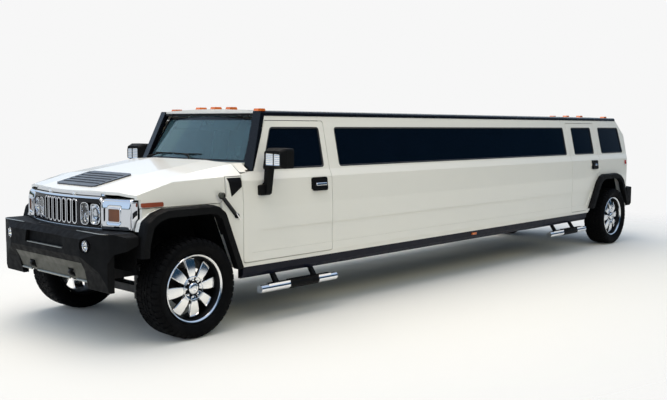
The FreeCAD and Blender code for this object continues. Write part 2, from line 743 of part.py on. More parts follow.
def pillars_and_gutters():
    """Black windscreen pillars that run on into the gutters along the roof."""
    inner = CANT_Y - GUTTER_WIDTH
    gutter = prism([
        (inner, CANT_Z + SEAT_GAP), (CANT_Y + 4.0, CANT_Z + SEAT_GAP), (CANT_Y - 2.0, ROOF_EDGE_Z - 10.0),
        (CANT_Y - 16.0, ROOF_EDGE_Z + 4.0), (inner, ROOF_EDGE_Z + 4.0),
    ], "YZ", ROOF_REAR_X, ROOF_FRONT_X)
    foot = [
        at(PILLAR_BASE_X - 42.0, PILLAR_BASE_Y, PILLAR_BASE_Z),
        at(PILLAR_BASE_X - 60.0, BELT_Y - 4.0, PILLAR_BASE_Z),
        at(pillar_rear_x(PILLAR_BASE_Z), BELT_Y - 4.0, PILLAR_BASE_Z),
        at(pillar_rear_x(PILLAR_BASE_Z), PILLAR_BASE_Y, PILLAR_BASE_Z),
    ]
    head = [
        at(ROOF_FRONT_X + 8.0, SCREEN_HEAD_HALF_WIDTH + 6.0, ROOF_EDGE_Z + 4.0),
        at(ROOF_FRONT_X - 6.0, CANT_Y - 6.0, ROOF_EDGE_Z + 4.0),
        at(PILLAR_HEAD_X - 22.0, CANT_Y - 6.0, ROOF_EDGE_Z + 4.0),
        at(PILLAR_HEAD_X - 22.0, SCREEN_HEAD_HALF_WIDTH + 6.0, ROOF_EDGE_Z + 4.0),
    ]
    pillar = Part.makeLoft([Part.makePolygon(foot + foot[:1]), Part.makePolygon(head + head[:1])], True, True)
    under_roof = box((ROOF_REAR_X, 0.0, CANT_Z), (ROOF_FRONT_X + SEAT_GAP, inner, ROOF_CROWN_Z))
    pillar = pillar.cut([under_roof, through_side(front_door_outline(-SHUT_GAP))])
    header_half = SCREEN_HEAD_HALF_WIDTH + 8.0
    header = box((ROOF_FRONT_X + SEAT_GAP, -header_half, CANT_Z + SEAT_GAP),
                 (ROOF_FRONT_X + SEAT_GAP * 2 + 8.0, header_half, CANT_Z + SCREEN_HEADER))
    rail = gutter.fuse(pillar).removeSplitter()
    return ring([rail, mirrored(rail), header])


def screen_frame(shape):
    """Lays a shape built flat, with X as outward, Y across and Z up the slope, on the screen's slope."""
    lean = math.degrees(math.atan2(SCREEN_FOOT_X - SCREEN_HEAD_X, SCREEN_HEAD_Z - SCREEN_FOOT_Z))
    placed = shape.copy()
    placed.rotate(at(0, 0, 0), at(0, 1, 0), -lean)
    placed.translate(at(SCREEN_FOOT_X, 0, SCREEN_FOOT_Z))
    return placed


def windscreen():
    """Bowed windscreen, trimmed level at the scuttle and under the roof."""
    slope = math.hypot(SCREEN_FOOT_X - SCREEN_HEAD_X, SCREEN_HEAD_Z - SCREEN_FOOT_Z)
    half = SCREEN_FOOT_HALF_WIDTH
    spare = SCREEN_BOW * 2
    arcs = [
        Part.Arc(at(-SCREEN_BOW - depth, -half, -spare), at(-depth, 0, -spare),
                 at(-SCREEN_BOW - depth, half, -spare)).toShape()
        for depth in (0.0, SCREEN_THICKNESS)
    ]
    ends = [Part.LineSegment(arcs[0].Vertexes[i].Point, arcs[1].Vertexes[i].Point).toShape() for i in (0, 1)]
    face = Part.Face(Part.Wire(Part.__sortEdges__(arcs + ends)))
    sheet = face.extrude(at(0, 0, slope + 2 * spare))
    taper = (SCREEN_FOOT_HALF_WIDTH - SCREEN_HEAD_HALF_WIDTH) / slope
    wide, narrow = SCREEN_FOOT_HALF_WIDTH + taper * spare, SCREEN_HEAD_HALF_WIDTH - taper * spare
    outline = prism([(-wide, -spare), (wide, -spare), (narrow, slope + spare), (-narrow, slope + spare)],
                    "YZ", -200.0, 200.0)
    placed = screen_frame(sheet.common(outline))
    return placed.common(box((SCREEN_HEAD_X - 400.0, -half, SCREEN_FOOT_Z),
                             (SCREEN_FOOT_X + 400.0, half, SCREEN_HEAD_Z)))


def cowl_bulkhead():
    """Bulkhead between engine bay and cabin, with the raised cowl that the windscreen stands on."""
    wall_x, front_x = BULKHEAD_X, BONNET_REAR_X - SHUT_GAP
    low, top = BELT_Z - SEAT_GAP, SCREEN_FOOT_Z - SEAT_GAP
    bulkhead = cabin_core(wall_x + 30.0, wall_x, FLOOR_Z + FLOOR_THICKNESS + SEAT_GAP, low - 10.0)
    half = inner_skin(SEAT_GAP)[2][0]
    scuttle = box((wall_x, -half, low - SCUTTLE_THICKNESS), (front_x, half, low))
    side = BELT_Y - 8.0
    half_section = [(side, low - 1.0), (side, low + SHUT_GAP), (PILLAR_BASE_Y - 16.0, top)]
    section = half_section + [(-y, z) for y, z in half_section[::-1]]
    cap = prism(section, "YZ", wall_x, front_x)
    cap = cap.cut(box((wall_x - 1.0, -1200.0, 0.0), (front_x + 1.0, -half, low + SHUT_GAP)))
    cap = cap.cut(box((wall_x - 1.0, half, 0.0), (front_x + 1.0, 1200.0, low + SHUT_GAP)))
    inner = SCREEN_FOOT_HALF_WIDTH - 2.0
    behind = box((wall_x - 1.0, inner, low), (PILLAR_BASE_X - 40.0, 1200.0, top + 1.0))
    plenum = box((wall_x + 14.0, -inner + 60.0, low - SCUTTLE_THICKNESS + 12.0), (front_x - 14.0, inner - 60.0, top - 14.0))
    over_door = box((wall_x - 1.0, BELT_Y - 57.0, 0.0), (DOOR_FRONT_X - 76.0, 1200.0, BELT_Z + 23.0))
    cap = cap.cut([behind, mirrored(behind), over_door, mirrored(over_door)])
    return bulkhead.fuse([scuttle, cap]).cut(plenum).removeSplitter()


def side_glass():
    """Fixed glass: the long middle windows and the rear quarter windows."""
    sheet = glass_sheet(LONG_WINDOW_FRONT_X + 20.0, TAIL_X - 10.0)
    panes = [
        sheet.common(through_side(long_window(SEAT_GAP))),
        sheet.common(through_side(quarter_window(SEAT_GAP))),
    ]
    return both_sides(*panes)


def tail_profile(depth):
    """Outline of the tail in side view, moved forward by a depth, from the bottom to the roof."""
    return [
        (TAIL_X + depth, SILL_Z + 120.0), (TAIL_X + depth, TAIL_KNEE_Z),
        (ROOF_REAR_X + depth, CANT_Z),
    ]


def tail_slab(outer, inner):
    """A slab that follows the tail across the whole width."""
    points = tail_profile(outer) + tail_profile(inner)[::-1]
    return prism(points, "XZ", -SKIN_Y, SKIN_Y)


def gate_outline(gap=0.0, window=False):
    """The tailgate, or its window, seen from behind."""
    if window:
        half, low, high = GATE_WINDOW_HALF_WIDTH - gap, GATE_WINDOW_LOW_Z + gap, GATE_WINDOW_HIGH_Z - gap
    else:
        half, low, high = GATE_HALF_WIDTH - gap, GATE_SILL_Z + gap, GATE_TOP_Z - gap
    taper = 0.06 * (high - low)
    return [(-half, low, 40.0), (half, low, 40.0), (half - taper, high, 40.0), (-half + taper, high, 40.0)]


def through_tail(points):
    """A prism that cuts an outline seen from behind through the tail."""
    return prism(points, "YZ", TAIL_X - 200.0, ROOF_REAR_X + 400.0)


def hinge_line(along, out):
    """A point in side view near the tailgate's hinge: up the slope, and out from the surface."""
    rise = CANT_Z - TAIL_KNEE_Z
    run = ROOF_REAR_X - TAIL_X
    length = math.hypot(rise, run)
    x = TAIL_X + run * (GATE_TOP_Z - TAIL_KNEE_Z) / rise
    return (x + (run * along - rise * out) / length, GATE_TOP_Z + (rise * along + run * out) / length)


def hinge_ear(y, reach, width, bore):
    """One ear of a tailgate hinge, with a tongue that reaches up or down the slope."""
    x, z = hinge_line(0.0, 0.0)
    tongue = prism([hinge_line(0.0, -HINGE_RADIUS * 0.8), hinge_line(reach, -HINGE_RADIUS * 0.8),
                    hinge_line(reach, HINGE_RADIUS * 0.4), hinge_line(0.0, HINGE_RADIUS * 0.4)],
                   "XZ", y - width / 2, y + width / 2)
    eye = rod((x, y - width / 2, z), (x, y + width / 2, z), HINGE_RADIUS)
    ear = eye.fuse(tongue)
    return ear.cut(rod((x, y - width, z), (x, y + width, z), HINGE_PIN_RADIUS + RUNNING_CLEARANCE)) if bore else ear


def hinge_notch(y):
    """Room for a tailgate hinge in the panels."""
    x, z = hinge_line(0.0, 0.0)
    half = HINGE_EAR_WIDTH * 1.5 + 4.0
    return rod((x, y - half, z), (x, y + half, z), HINGE_RADIUS + 3.0)


def rear_frame():
    """Tail panel between the body sides, with the tailgate opening and the fixed hinge ears and pins."""
    slab = tail_slab(0.0, TAIL_WALL)
    core = cabin_core(ROOF_REAR_X + 300.0, TAIL_X - 100.0, SILL_Z, CANT_Z)
    frame = slab.common(core).cut(through_tail(gate_outline(-SHUT_GAP)))
    x, z = hinge_line(0.0, 0.0)
    for y in (-HINGE_Y, HINGE_Y):
        reach = HINGE_EAR_WIDTH * 1.5 + 1.0
        pin = rod((x, y - reach, z), (x, y + reach, z), HINGE_PIN_RADIUS)
        frame = frame.cut(hinge_notch(y))
        frame = frame.fuse([hinge_ear(y, HINGE_TONGUE, HINGE_EAR_WIDTH, False), pin])
    return frame.removeSplitter()


def tailgate():
    """Top-hinged tailgate with its window cut and two eyes round each hinge pin."""
    slab = tail_slab(0.0, TAIL_WALL).common(through_tail(gate_outline()))
    gate = slab.cut(through_tail(gate_outline(window=True)))
    for y in (-HINGE_Y, HINGE_Y):
        gate = gate.cut(hinge_notch(y))
        offset = HINGE_EAR_WIDTH + SEAT_GAP * 2
        eyes = [hinge_ear(y + side * offset, -HINGE_TONGUE, HINGE_EAR_WIDTH, True) for side in (-1, 1)]
        gate = gate.fuse(eyes)
    return gate.removeSplitter()


def tailgate_glass():
    """Tailgate window."""
    slab = tail_slab(GLASS_RECESS, GLASS_RECESS + GLASS_THICKNESS)
    return slab.common(through_tail(gate_outline(SEAT_GAP, window=True)))


# Nose

def nose_arc(set_back, half, z):
    """Plan curve of the nose, set back by a distance, as an arc."""
    drop = NOSE_BOW * (half / NOSE_HALF_WIDTH) ** 2
    return Part.Arc(at(NOSE_X - set_back - drop, -half, z), at(NOSE_X - set_back, 0, z),
                    at(NOSE_X - set_back - drop, half, z)).toShape()


def nose_slab(front, back, low, high, half=NOSE_HALF_WIDTH + 60.0):
    """A bowed slab behind the nose curve, between two set-backs and two heights."""
    fore, aft = nose_arc(front, half, low), nose_arc(back, half, low)
    sides = [
        Part.LineSegment(fore.Vertexes[-1].Point, aft.Vertexes[-1].Point).toShape(),
        Part.LineSegment(aft.Vertexes[0].Point, fore.Vertexes[0].Point).toShape(),
    ]
    face = Part.Face(Part.Wire([fore, sides[0], aft, sides[1]]))
    return face.extrude(at(0, 0, high - low))


def through_nose(points):
    """A prism that cuts an outline seen from in front through the nose."""
    return prism(points, "YZ", NOSE_X - 600.0, NOSE_X + 100.0)


def slot_outline(y, grow):
    """One upright grille slot with chamfered ends, seen from in front."""
    half, reach = SLOT_WIDTH / 2 + grow, SLOT_HEIGHT / 2 + grow
    z = (GRILLE_LOW_Z + GRILLE_HIGH_Z) / 2
    cut = half * 0.6
    right = [(half, -reach + cut), (half, reach - cut), (half - cut, reach)]
    left = [(cut - half, reach), (-half, reach - cut), (-half, cut - reach)]
    ends = [(cut - half, -reach), (half - cut, -reach)]
    return [(y + a, z + b) for a, b in right + left + ends]


def lamp_bay(grow=0.0):
    """The dark bay that holds one side's lamps, seen from in front."""
    low, high = LAMP_CENTRE_Z - LAMP_BAY_HEIGHT / 2 - grow, LAMP_CENTRE_Z + LAMP_BAY_HEIGHT / 2 + grow
    return [(LAMP_BAY_INNER_Y - grow, low, 30.0), (LAMP_BAY_OUTER_Y + grow, low, 30.0),
            (LAMP_BAY_OUTER_Y + grow, high, 30.0), (LAMP_BAY_INNER_Y - grow, high, 30.0)]


def turn_lamp_outline(grow=0.0):
    """The square corner lamp, seen from in front."""
    half_w, half_h = TURN_LAMP_WIDTH / 2 + grow, TURN_LAMP_HEIGHT / 2 + grow
    return [(TURN_LAMP_Y - half_w, TURN_LAMP_Z - half_h, 12.0), (TURN_LAMP_Y + half_w, TURN_LAMP_Z - half_h, 12.0),
            (TURN_LAMP_Y + half_w, TURN_LAMP_Z + half_h, 12.0), (TURN_LAMP_Y - half_w, TURN_LAMP_Z + half_h, 12.0)]


def bonnet_ear(y, tongue, bore):
    """One ear of a bonnet hinge over the grille, with a tongue seen from the side, offset from the axis."""
    x, z, half = BONNET_LIP_X, BONNET_LIP_Z, BONNET_EAR_WIDTH / 2
    web = prism([(x + along, z + up) for along, up in tongue], "XZ", y - half, y + half)
    ear = rod((x, y - half, z), (x, y + half, z), BONNET_HINGE_RADIUS).fuse(web)
    hole = rod((x, y - half - 1.0, z), (x, y + half + 1.0, z), BONNET_PIN_RADIUS + RUNNING_CLEARANCE)
    return ear.cut(hole) if bore else ear


def bonnet_hinge_pin(y, radius, spare):
    """A round bar along a bonnet hinge's axis, over its three ears."""
    x, z, half = BONNET_LIP_X, BONNET_LIP_Z, BONNET_EAR_WIDTH * 1.5 + spare
    return rod((x, y - half, z), (x, y + half, z), radius)


def grille_shell():
    """Bright grille shell with upright ringed slots, lamp bays, corner panels and the bonnet's hinge pins."""
    half, cut = GRILLE_HALF_WIDTH, GRILLE_CHAMFER
    shell = [
        (-half, GRILLE_LOW_Z, 16.0), (half, GRILLE_LOW_Z, 16.0), (half, GRILLE_HIGH_Z - cut, 10.0),
        (half - cut, GRILLE_HIGH_Z, 10.0), (-half + cut, GRILLE_HIGH_Z, 10.0), (-half, GRILLE_HIGH_Z - cut, 10.0),
    ]
    slab = nose_slab(0.0, GRILLE_DEPTH, GRILLE_LOW_Z - 10.0, GRILLE_HIGH_Z + 10.0)
    body = slab.common(through_nose(shell))
    corner = [
        (half - 2.0, GRILLE_LOW_Z + 8.0), (CORNER_OUTER_Y, GRILLE_LOW_Z + 8.0, 8.0),
        (CORNER_OUTER_Y, GRILLE_HIGH_Z - 30.0, 12.0), (half - 2.0, GRILLE_HIGH_Z - 22.0),
    ]
    corner_slab = nose_slab(6.0, 56.0, GRILLE_LOW_Z - 10.0, GRILLE_HIGH_Z + 10.0)
    panel = corner_slab.common(through_nose(corner))
    panel = panel.cut(nose_slab(0.0, 34.0, 0.0, 2000.0).common(through_nose(turn_lamp_outline(SEAT_GAP))))
    middle = (SLOT_COUNT - 1) / 2
    rings, slots = [], []
    for index in range(SLOT_COUNT):
        y = (index - middle) * SLOT_PITCH
        ring_slab = nose_slab(-SLOT_RING_PROUD, 20.0, GRILLE_LOW_Z, GRILLE_HIGH_Z)
        rings.append(ring_slab.common(through_nose(slot_outline(y, SLOT_RING))))
        slots.append(through_nose(slot_outline(y, 0.0)))
    bays = [through_nose(lamp_bay()), mirrored(through_nose(lamp_bay()))]
    body = body.fuse([panel, mirrored(panel)] + rings)
    body = body.cut(slots + bays)
    post = [(-7.0, -18.0), (7.0, -18.0), (7.0, 0.0), (-7.0, 0.0)]
    for y in (-BONNET_HINGE_Y, BONNET_HINGE_Y):
        body = body.cut(bonnet_hinge_pin(y, BONNET_HINGE_RADIUS + 5.0, 5.0))
        body = body.fuse([bonnet_ear(y, post, False), bonnet_hinge_pin(y, BONNET_PIN_RADIUS, 1.0)])
    return body.removeSplitter()


def lamp_barrel(y, z, radius):
    """A round lamp that plugs into the housing behind the grille."""
    drop = NOSE_BOW * (y / NOSE_HALF_WIDTH) ** 2
    face_x = NOSE_X - drop - GRILLE_DEPTH
    return rod((face_x - LAMP_LENGTH, y, z), (face_x, y, z), radius)


def lamp_places():
    """Centre and radius of each lamp on the left side."""
    return [
        (OUTER_LAMP_Y, LAMP_CENTRE_Z, OUTER_LAMP_RADIUS),
        (INNER_LAMP_Y, LAMP_CENTRE_Z + 34.0, INNER_LAMP_RADIUS),
        (INNER_LAMP_Y, LAMP_CENTRE_Z - 58.0, SMALL_LAMP_RADIUS),
    ]


def fog_lamp():
    """Round lamp in the front bumper."""
    face_x = BUMPER_FACE_X - FOG_LAMP_INSET
    return rod((face_x - FOG_LAMP_DEPTH, FOG_LAMP_Y, FOG_LAMP_Z), (face_x, FOG_LAMP_Y, FOG_LAMP_Z),
               FOG_LAMP_RADIUS)


def headlamps():
    """Head, spot and fog lamps."""
    return both_sides(*[lamp_barrel(*place) for place in lamp_places()], fog_lamp())


def lamp_housing():
    """Dark housing behind the grille that carries the lamps."""
    half = GRILLE_HALF_WIDTH - 4.0
    front, floor, back = GRILLE_DEPTH + SEAT_GAP, GRILLE_DEPTH + 26.0, GRILLE_DEPTH + 44.0
    low, high, wall = GRILLE_LOW_Z + 4.0, GRILLE_HIGH_Z - 6.0, 10.0
    outline = [(-half, low), (half, low), (half, high - 40.0), (half - 40.0, high),
               (-half + 40.0, high), (-half, high - 40.0)]
    inner = [(-half + wall, low + wall), (half - wall, low + wall), (half - wall, high - 44.0),
             (half - 44.0, high - wall), (-half + 44.0, high - wall), (-half + wall, high - 44.0)]
    shell = nose_slab(front, back, 0.0, 2000.0).common(through_nose(outline))
    hollow = nose_slab(front - 10.0, floor, 0.0, 2000.0).common(through_nose(inner))
    holes = []
    for y, z, radius in lamp_places():
        neck = radius + SEAT_GAP
        hole = rod((NOSE_X - 400.0, y, z), (NOSE_X, y, z), neck)
        holes += [hole, mirrored(hole)]
    return shell.cut([hollow] + holes)


def turn_lamp():
    """Amber block in the corner panel."""
    slab = nose_slab(2.0, 34.0 - SEAT_GAP, 0.0, 2000.0)
    return slab.common(through_nose(turn_lamp_outline()))


def roof_lamp(x, y):
    """Low amber marker lamp on the roof, longer along the car."""
    half_chord = CANT_Y - GUTTER_WIDTH
    rise = ROOF_CROWN_Z - ROOF_EDGE_Z
    z = ROOF_CROWN_Z - rise * (y / half_chord) ** 2
    points = [(x - 52.0, z - 6.0), (x + 52.0, z - 6.0), (x + 40.0, z + 24.0), (x - 40.0, z + 24.0)]
    base = roof_panel()
    base.translate(at(0, 0, SEAT_GAP))
    return prism(points, "XZ", y - 34.0, y + 34.0).cut(base)


def rocker_marker():
    """Small amber lamp on the rocker, half way along."""
    x = (FRONT_AXLE_X + REAR_AXLE_X) / 2 - 270.0
    y = SKIN_Y - SILL_TUCK
    bar = rocker()
    bar.translate(at(0, SEAT_GAP, 0))
    return box((x - 45.0, y - 12.0, 492.0), (x + 45.0, y + 12.0, 518.0)).cut(bar)


def amber_lamps():
    """Corner turn lamps, five roof lamps in front and five behind, and a marker on each rocker."""
    lamps = [turn_lamp(), mirrored(turn_lamp()), rocker_marker(), mirrored(rocker_marker())]
    for x in (ROOF_FRONT_X - ROOF_LAMP_SETBACK, ROOF_REAR_X + ROOF_LAMP_SETBACK):
        for y in (-ROOF_LAMP_OUTER_Y, -ROOF_LAMP_INNER_Y, 0.0, ROOF_LAMP_INNER_Y, ROOF_LAMP_OUTER_Y):
            lamps.append(roof_lamp(x, y))
    return ring(lamps)


# Bonnet

def bonnet_section(x, crown, crease, shoulder, hem, wall=0.0):
    """One closed cross section of the bonnet, shrunk inward by a wall."""
    left = [hem, shoulder, crease, crown]
    path = [(-y, z) for y, z in left] + left[::-1]
    if wall:
        path = offset_path(path, -wall)
        path[0] = (path[0][0], hem[1] - 30.0)
        path[-1] = (path[-1][0], hem[1] - 30.0)
    return outline_wire(path, "YZ", x)


def bonnet_body(wall=0.0):
    """The lofted bonnet volume, from three sections between nose and scuttle."""
    hem_z = FLARE_TOP_Z - 60.0
    stations = [
        (FRONT_AXLE_X + 720.0, (420.0, 1256.0), (700.0, 1236.0), (866.0, 1192.0), (892.0, hem_z)),
        (FRONT_AXLE_X + 150.0, (420.0, 1394.0), (748.0, 1368.0), (898.0, 1352.0), (922.0, hem_z)),
        (FRONT_AXLE_X - 640.0, (420.0, 1512.0), (792.0, 1490.0), (930.0, 1386.0), (957.0, hem_z)),
    ]
    return Part.makeLoft([bonnet_section(*station, wall=wall) for station in stations], True, True)


def bonnet():
    """Front-hinged bonnet with its shoulders and upper wing sides in one shell."""
    shell = bonnet_body().cut(bonnet_body(BONNET_WALL))
    shell = shell.common(nose_slab(NOSE_X - BONNET_LIP_X, 1600.0, BONNET_LIP_Z - 400.0, 2000.0))
    rear = BONNET_REAR_X
    shell = shell.common(box((rear, -1200.0, FLARE_TOP_Z + SHUT_GAP), (NOSE_X + 50.0, 1200.0, 2000.0)))
    side_cut = through_side(cowl_side_outline(SHUT_GAP))
    side_cut = side_cut.common(box((rear - 400.0, 860.0, 0.0), (NOSE_X, 1200.0, 2000.0)))
    nose_cut = box((NOSE_X - 400.0, -GRILLE_HALF_WIDTH - 12.0, 900.0),
                   (NOSE_X + 50.0, GRILLE_HALF_WIDTH + 12.0, BONNET_LIP_Z))
    corner_low = GRILLE_HIGH_Z - 22.0 + SHUT_GAP
    corner_cut = nose_slab(0.0, 62.0, 900.0, corner_low)
    shell = shell.cut([side_cut, mirrored(side_cut), nose_cut, corner_cut])
    tongue = [(0.0, -8.0), (0.0, 8.5), (-46.0, 26.0), (-46.0, 16.0)]
    offset = BONNET_EAR_WIDTH + SEAT_GAP * 2
    for y in (-BONNET_HINGE_Y, BONNET_HINGE_Y):
        shell = shell.cut(bonnet_hinge_pin(y, BONNET_HINGE_RADIUS + 5.0, 5.0))
        shell = shell.fuse([bonnet_ear(y + side * offset, tongue, True) for side in (-1, 1)])
    return shell.removeSplitter()


def vent_outline(grow=0.0):
    """The bonnet vent seen from above: a wide panel, wider in front, with its ends cut."""
    x = FRONT_AXLE_X
    return symmetric([
        (x + 165.0 - grow, 300.0), (x + 188.0, 346.0 + grow), (x + 530.0, 324.0 + grow),
        (x + 550.0 + grow, 285.0),
    ])


def bonnet_vent():
    """Louvred vent that stands on the bonnet."""
    low, high = 1200.0, 1500.0
    top = prism(vent_outline(), "XY", low, high)
    raised = bonnet_body()
    raised.translate(at(0, 0, 12.0))
    base = bonnet_body()
    base.translate(at(0, 0, SEAT_GAP))
    vent = top.common(raised).cut(base)
    slots = []
    for index in range(5):
        x = FRONT_AXLE_X + 225.0 + index * 60.0
        slots.append(box((x, -300.0, low), (x + 26.0, 300.0, high)))
    return vent.cut(slots)


def side_marker():
    """Amber lamp on the bonnet's side, over the wheel."""
    centre = FRONT_AXLE_X + 358.0
    points = [(centre - 105.0, 1155.0, 12.0), (centre + 105.0, 1155.0, 12.0),
              (centre + 105.0, 1192.0, 12.0), (centre - 105.0, 1192.0, 12.0)]
    slab = prism(points, "XZ", 860.0, 1000.0)
    raised = bonnet_body()
    raised.translate(at(0, 10.0, 0))
    base = bonnet_body()
    base.translate(at(0, SEAT_GAP, 0))
    return slab.common(raised).cut(base)


def cowl_vent():
    """Louvred vent on the cowl side, between the bonnet's shut line and the door."""
    rear_x = BONNET_REAR_X + 12.0
    points = [
        (rear_x, COWL_SIDE_TOP_Z - 92.0), (rear_x, COWL_SIDE_TOP_Z - 8.0),
        (COWL_SIDE_FRONT_X - 12.0, COWL_SIDE_TOP_Z - 8.0), (COWL_SIDE_FRONT_X - 30.0, COWL_SIDE_TOP_Z - 60.0),
        (COWL_SIDE_FRONT_X - 52.0, COWL_SIDE_TOP_Z - 174.0),
    ]
    base = side_wall(COWL_SIDE_FRONT_X + 80.0, DOOR_FRONT_X)
    raised = base.copy()
    raised.translate(at(0, COWL_VENT_PROUD, 0))
    base.translate(at(0, SEAT_GAP, 0))
    plate = prism(points, "XZ", SKIN_Y - 100.0, SKIN_Y + 100.0).common(raised).cut(base)
    gaps = [
        box((rear_x + 14.0, 0.0, z), (COWL_SIDE_FRONT_X - 66.0, 1200.0, z + 9.0))
        for z in (COWL_SIDE_TOP_Z - 80.0, COWL_SIDE_TOP_Z - 60.0, COWL_SIDE_TOP_Z - 40.0)
    ]
    return plate.cut(gaps)


def bonnet_latch():
    """Rubber strap latch between the cowl side and the bonnet."""
    low = (FRONT_AXLE_X - 505.0, 1022.0)
    high = (FRONT_AXLE_X - 332.0, 1212.0)
    y = SKIN_Y + SEAT_GAP
    run = math.hypot(high[0] - low[0], high[1] - low[1])
    across = (-(high[1] - low[1]) / run * 17.0, (high[0] - low[0]) / run * 17.0)
    strap = prism([
        (low[0] - across[0], low[1] - across[1]), (high[0] - across[0], high[1] - across[1]),
        (high[0] + across[0], high[1] + across[1]), (low[0] + across[0], low[1] + across[1]),
    ], "XZ", y, y + 10.0)
    head = rod((high[0], y, high[1]), (high[0], y + 20.0, high[1]), 30.0)
    foot = rod((low[0], y, low[1]), (low[0], y + 18.0, low[1]), 22.0)
    return fuse_all([strap, head, foot])


# Wings, flares, liners, rockers and steps

def front_wing():
    """Fixed lower front wing: the ring behind the flare and the nose piece ahead of it."""
    arch = front_arch_line()
    inner_y = SKIN_Y - WALL_LOWER
    area = prism(arch_area(arch, 2.0), "XZ", inner_y, FLARE_INNER_Y)
    top = box((WING_REAR_X, inner_y, FLARE_TOP_Z - 66.0), (arch[3][0] + 10.0, FLARE_INNER_Y, FLARE_TOP_Z))
    area = area.fuse(top).cut(prism(arch_area(arch, FLARE_BAND - 14.0), "XZ", inner_y - 10.0, FLARE_INNER_Y + 10.0))
    area = area.cut(box((arch[0][0] - 400.0, 0.0, 0.0), (WING_REAR_X + SEAT_GAP, 1200.0, 2000.0)))
    nose = prism([
        (arch[3][0], FLARE_TOP_Z), (NOSE_X - 160.0, FLARE_TOP_Z), (NOSE_X - 160.0, BUMPER_TOP_Z),
        (arch[4][0] - 25.0, BUMPER_TOP_Z),
    ], "XZ", inner_y, WING_NOSE_Y)
    nose = nose.cut(prism(arch_area(arch, FLARE_BAND - 14.0), "XZ", 700.0, 1100.0))
    nose = nose.cut(nose_slab(-200.0, 62.0, 900.0, 1300.0))
    wing = area.fuse(nose).removeSplitter()
    low = BUMPER_TOP_Z
    return wing.cut(box((arch[3][0], 0.0, 0.0), (NOSE_X, 1200.0, low)))


def front_flare():
    """Front flare, seated on the wing and on the cowl side."""
    line = front_flare_line()
    shape = flare(line, SILL_Z + 6.0)
    shape = shape.cut(box((line[0][0] - 100.0, 0.0, 0.0), (WING_REAR_X + 2 * SEAT_GAP, SKIN_Y + SEAT_GAP, 2000.0)))
    return shape.cut(box((FRONT_AXLE_X + 320.0, 0.0, 0.0), (line[-1][0] + 200.0, 1200.0, 752.0)))


def rear_flare():
    """Rear flare, seated on the body side."""
    line = rear_flare_line()
    shape = flare(line, SILL_Z + 66.0)
    return shape.cut(box((line[0][0] - 300.0, 0.0, 0.0), (line[-1][0] + 300.0, SKIN_Y + SEAT_GAP, 2000.0)))


def wheel_flares():
    """All four flares."""
    return both_sides(front_flare(), rear_flare())


def wheel_liners():
    """All four inner wheel houses."""
    return both_sides(wheel_liner(front_arch_line(), SILL_Z + 80.0), wheel_liner(rear_arch_line(), SILL_Z + 140.0))


def rocker():
    """Left rocker moulding under the body side, between the arches."""
    inner_y = SKIN_Y - WALL_LOWER
    outer_y = SKIN_Y - SILL_TUCK
    top = SILL_Z - SEAT_GAP
    section = [
        (inner_y, top), (outer_y, top), (outer_y - 8.0, ROCKER_LOW_Z + 40.0, 16.0),
        (outer_y - 34.0, ROCKER_LOW_Z, 12.0), (inner_y, ROCKER_LOW_Z),
    ]
    return prism(section, "YZ", rear_arch_line()[-1][0] + 10.0, DOOR_FRONT_X)


def rockers():
    """Both rocker mouldings."""
    return both_sides(rocker())


def side_step(front_x, rear_x, bracket_count):
    """Bright tubular step with a flat tread and brackets up to the rocker."""
    run = front_x - rear_x
    bar = rod((rear_x, STEP_Y, STEP_Z), (front_x, STEP_Y, STEP_Z), STEP_RADIUS)
    tread = box((rear_x + 90.0, STEP_Y - 30.0, STEP_Z + 20.0), (front_x - 90.0, STEP_Y + 30.0, STEP_Z + STEP_RADIUS + 4.0))
    brackets = []
    for index in range(bracket_count):
        x = rear_x + run * (index + 0.5) / bracket_count
        brackets.append(prism([
            (STEP_Y - 20.0, STEP_Z), (STEP_Y - 44.0, STEP_Z - 8.0), (SKIN_Y - 80.0, ROCKER_LOW_Z - SEAT_GAP),
            (SKIN_Y - 48.0, ROCKER_LOW_Z - SEAT_GAP),
        ], "YZ", x - 22.0, x + 22.0))
    return fuse_all([bar, tread] + brackets)


def side_steps():
    """Steps below the front doors and ahead of the rear wheels."""
    return both_sides(
        side_step(FRONT_AXLE_X - 745.0, FRONT_AXLE_X - 1770.0, 2),
        side_step(REAR_AXLE_X + 2020.0, REAR_AXLE_X + 960.0, 2),
    )


# Bumpers

def symmetric(points):
    """An outline closed across the centre plane from its left half, given as (x, y)."""
    return points + [(point[0], -point[1]) + tuple(point[2:]) for point in points[::-1]]


def plate_holes(face_x, z, way):
    """The two holes that a number plate screws to, bored from a face; way is +1 or -1 along X."""
    reach = [(face_x - way * 1.0, y, z) for y in (PLATE_HOLE_SPACING / 2, -PLATE_HOLE_SPACING / 2)]
    return [rod(point, (face_x + way * PLATE_HOLE_DEPTH, point[1], z), PLATE_HOLE_RADIUS) for point in reach]


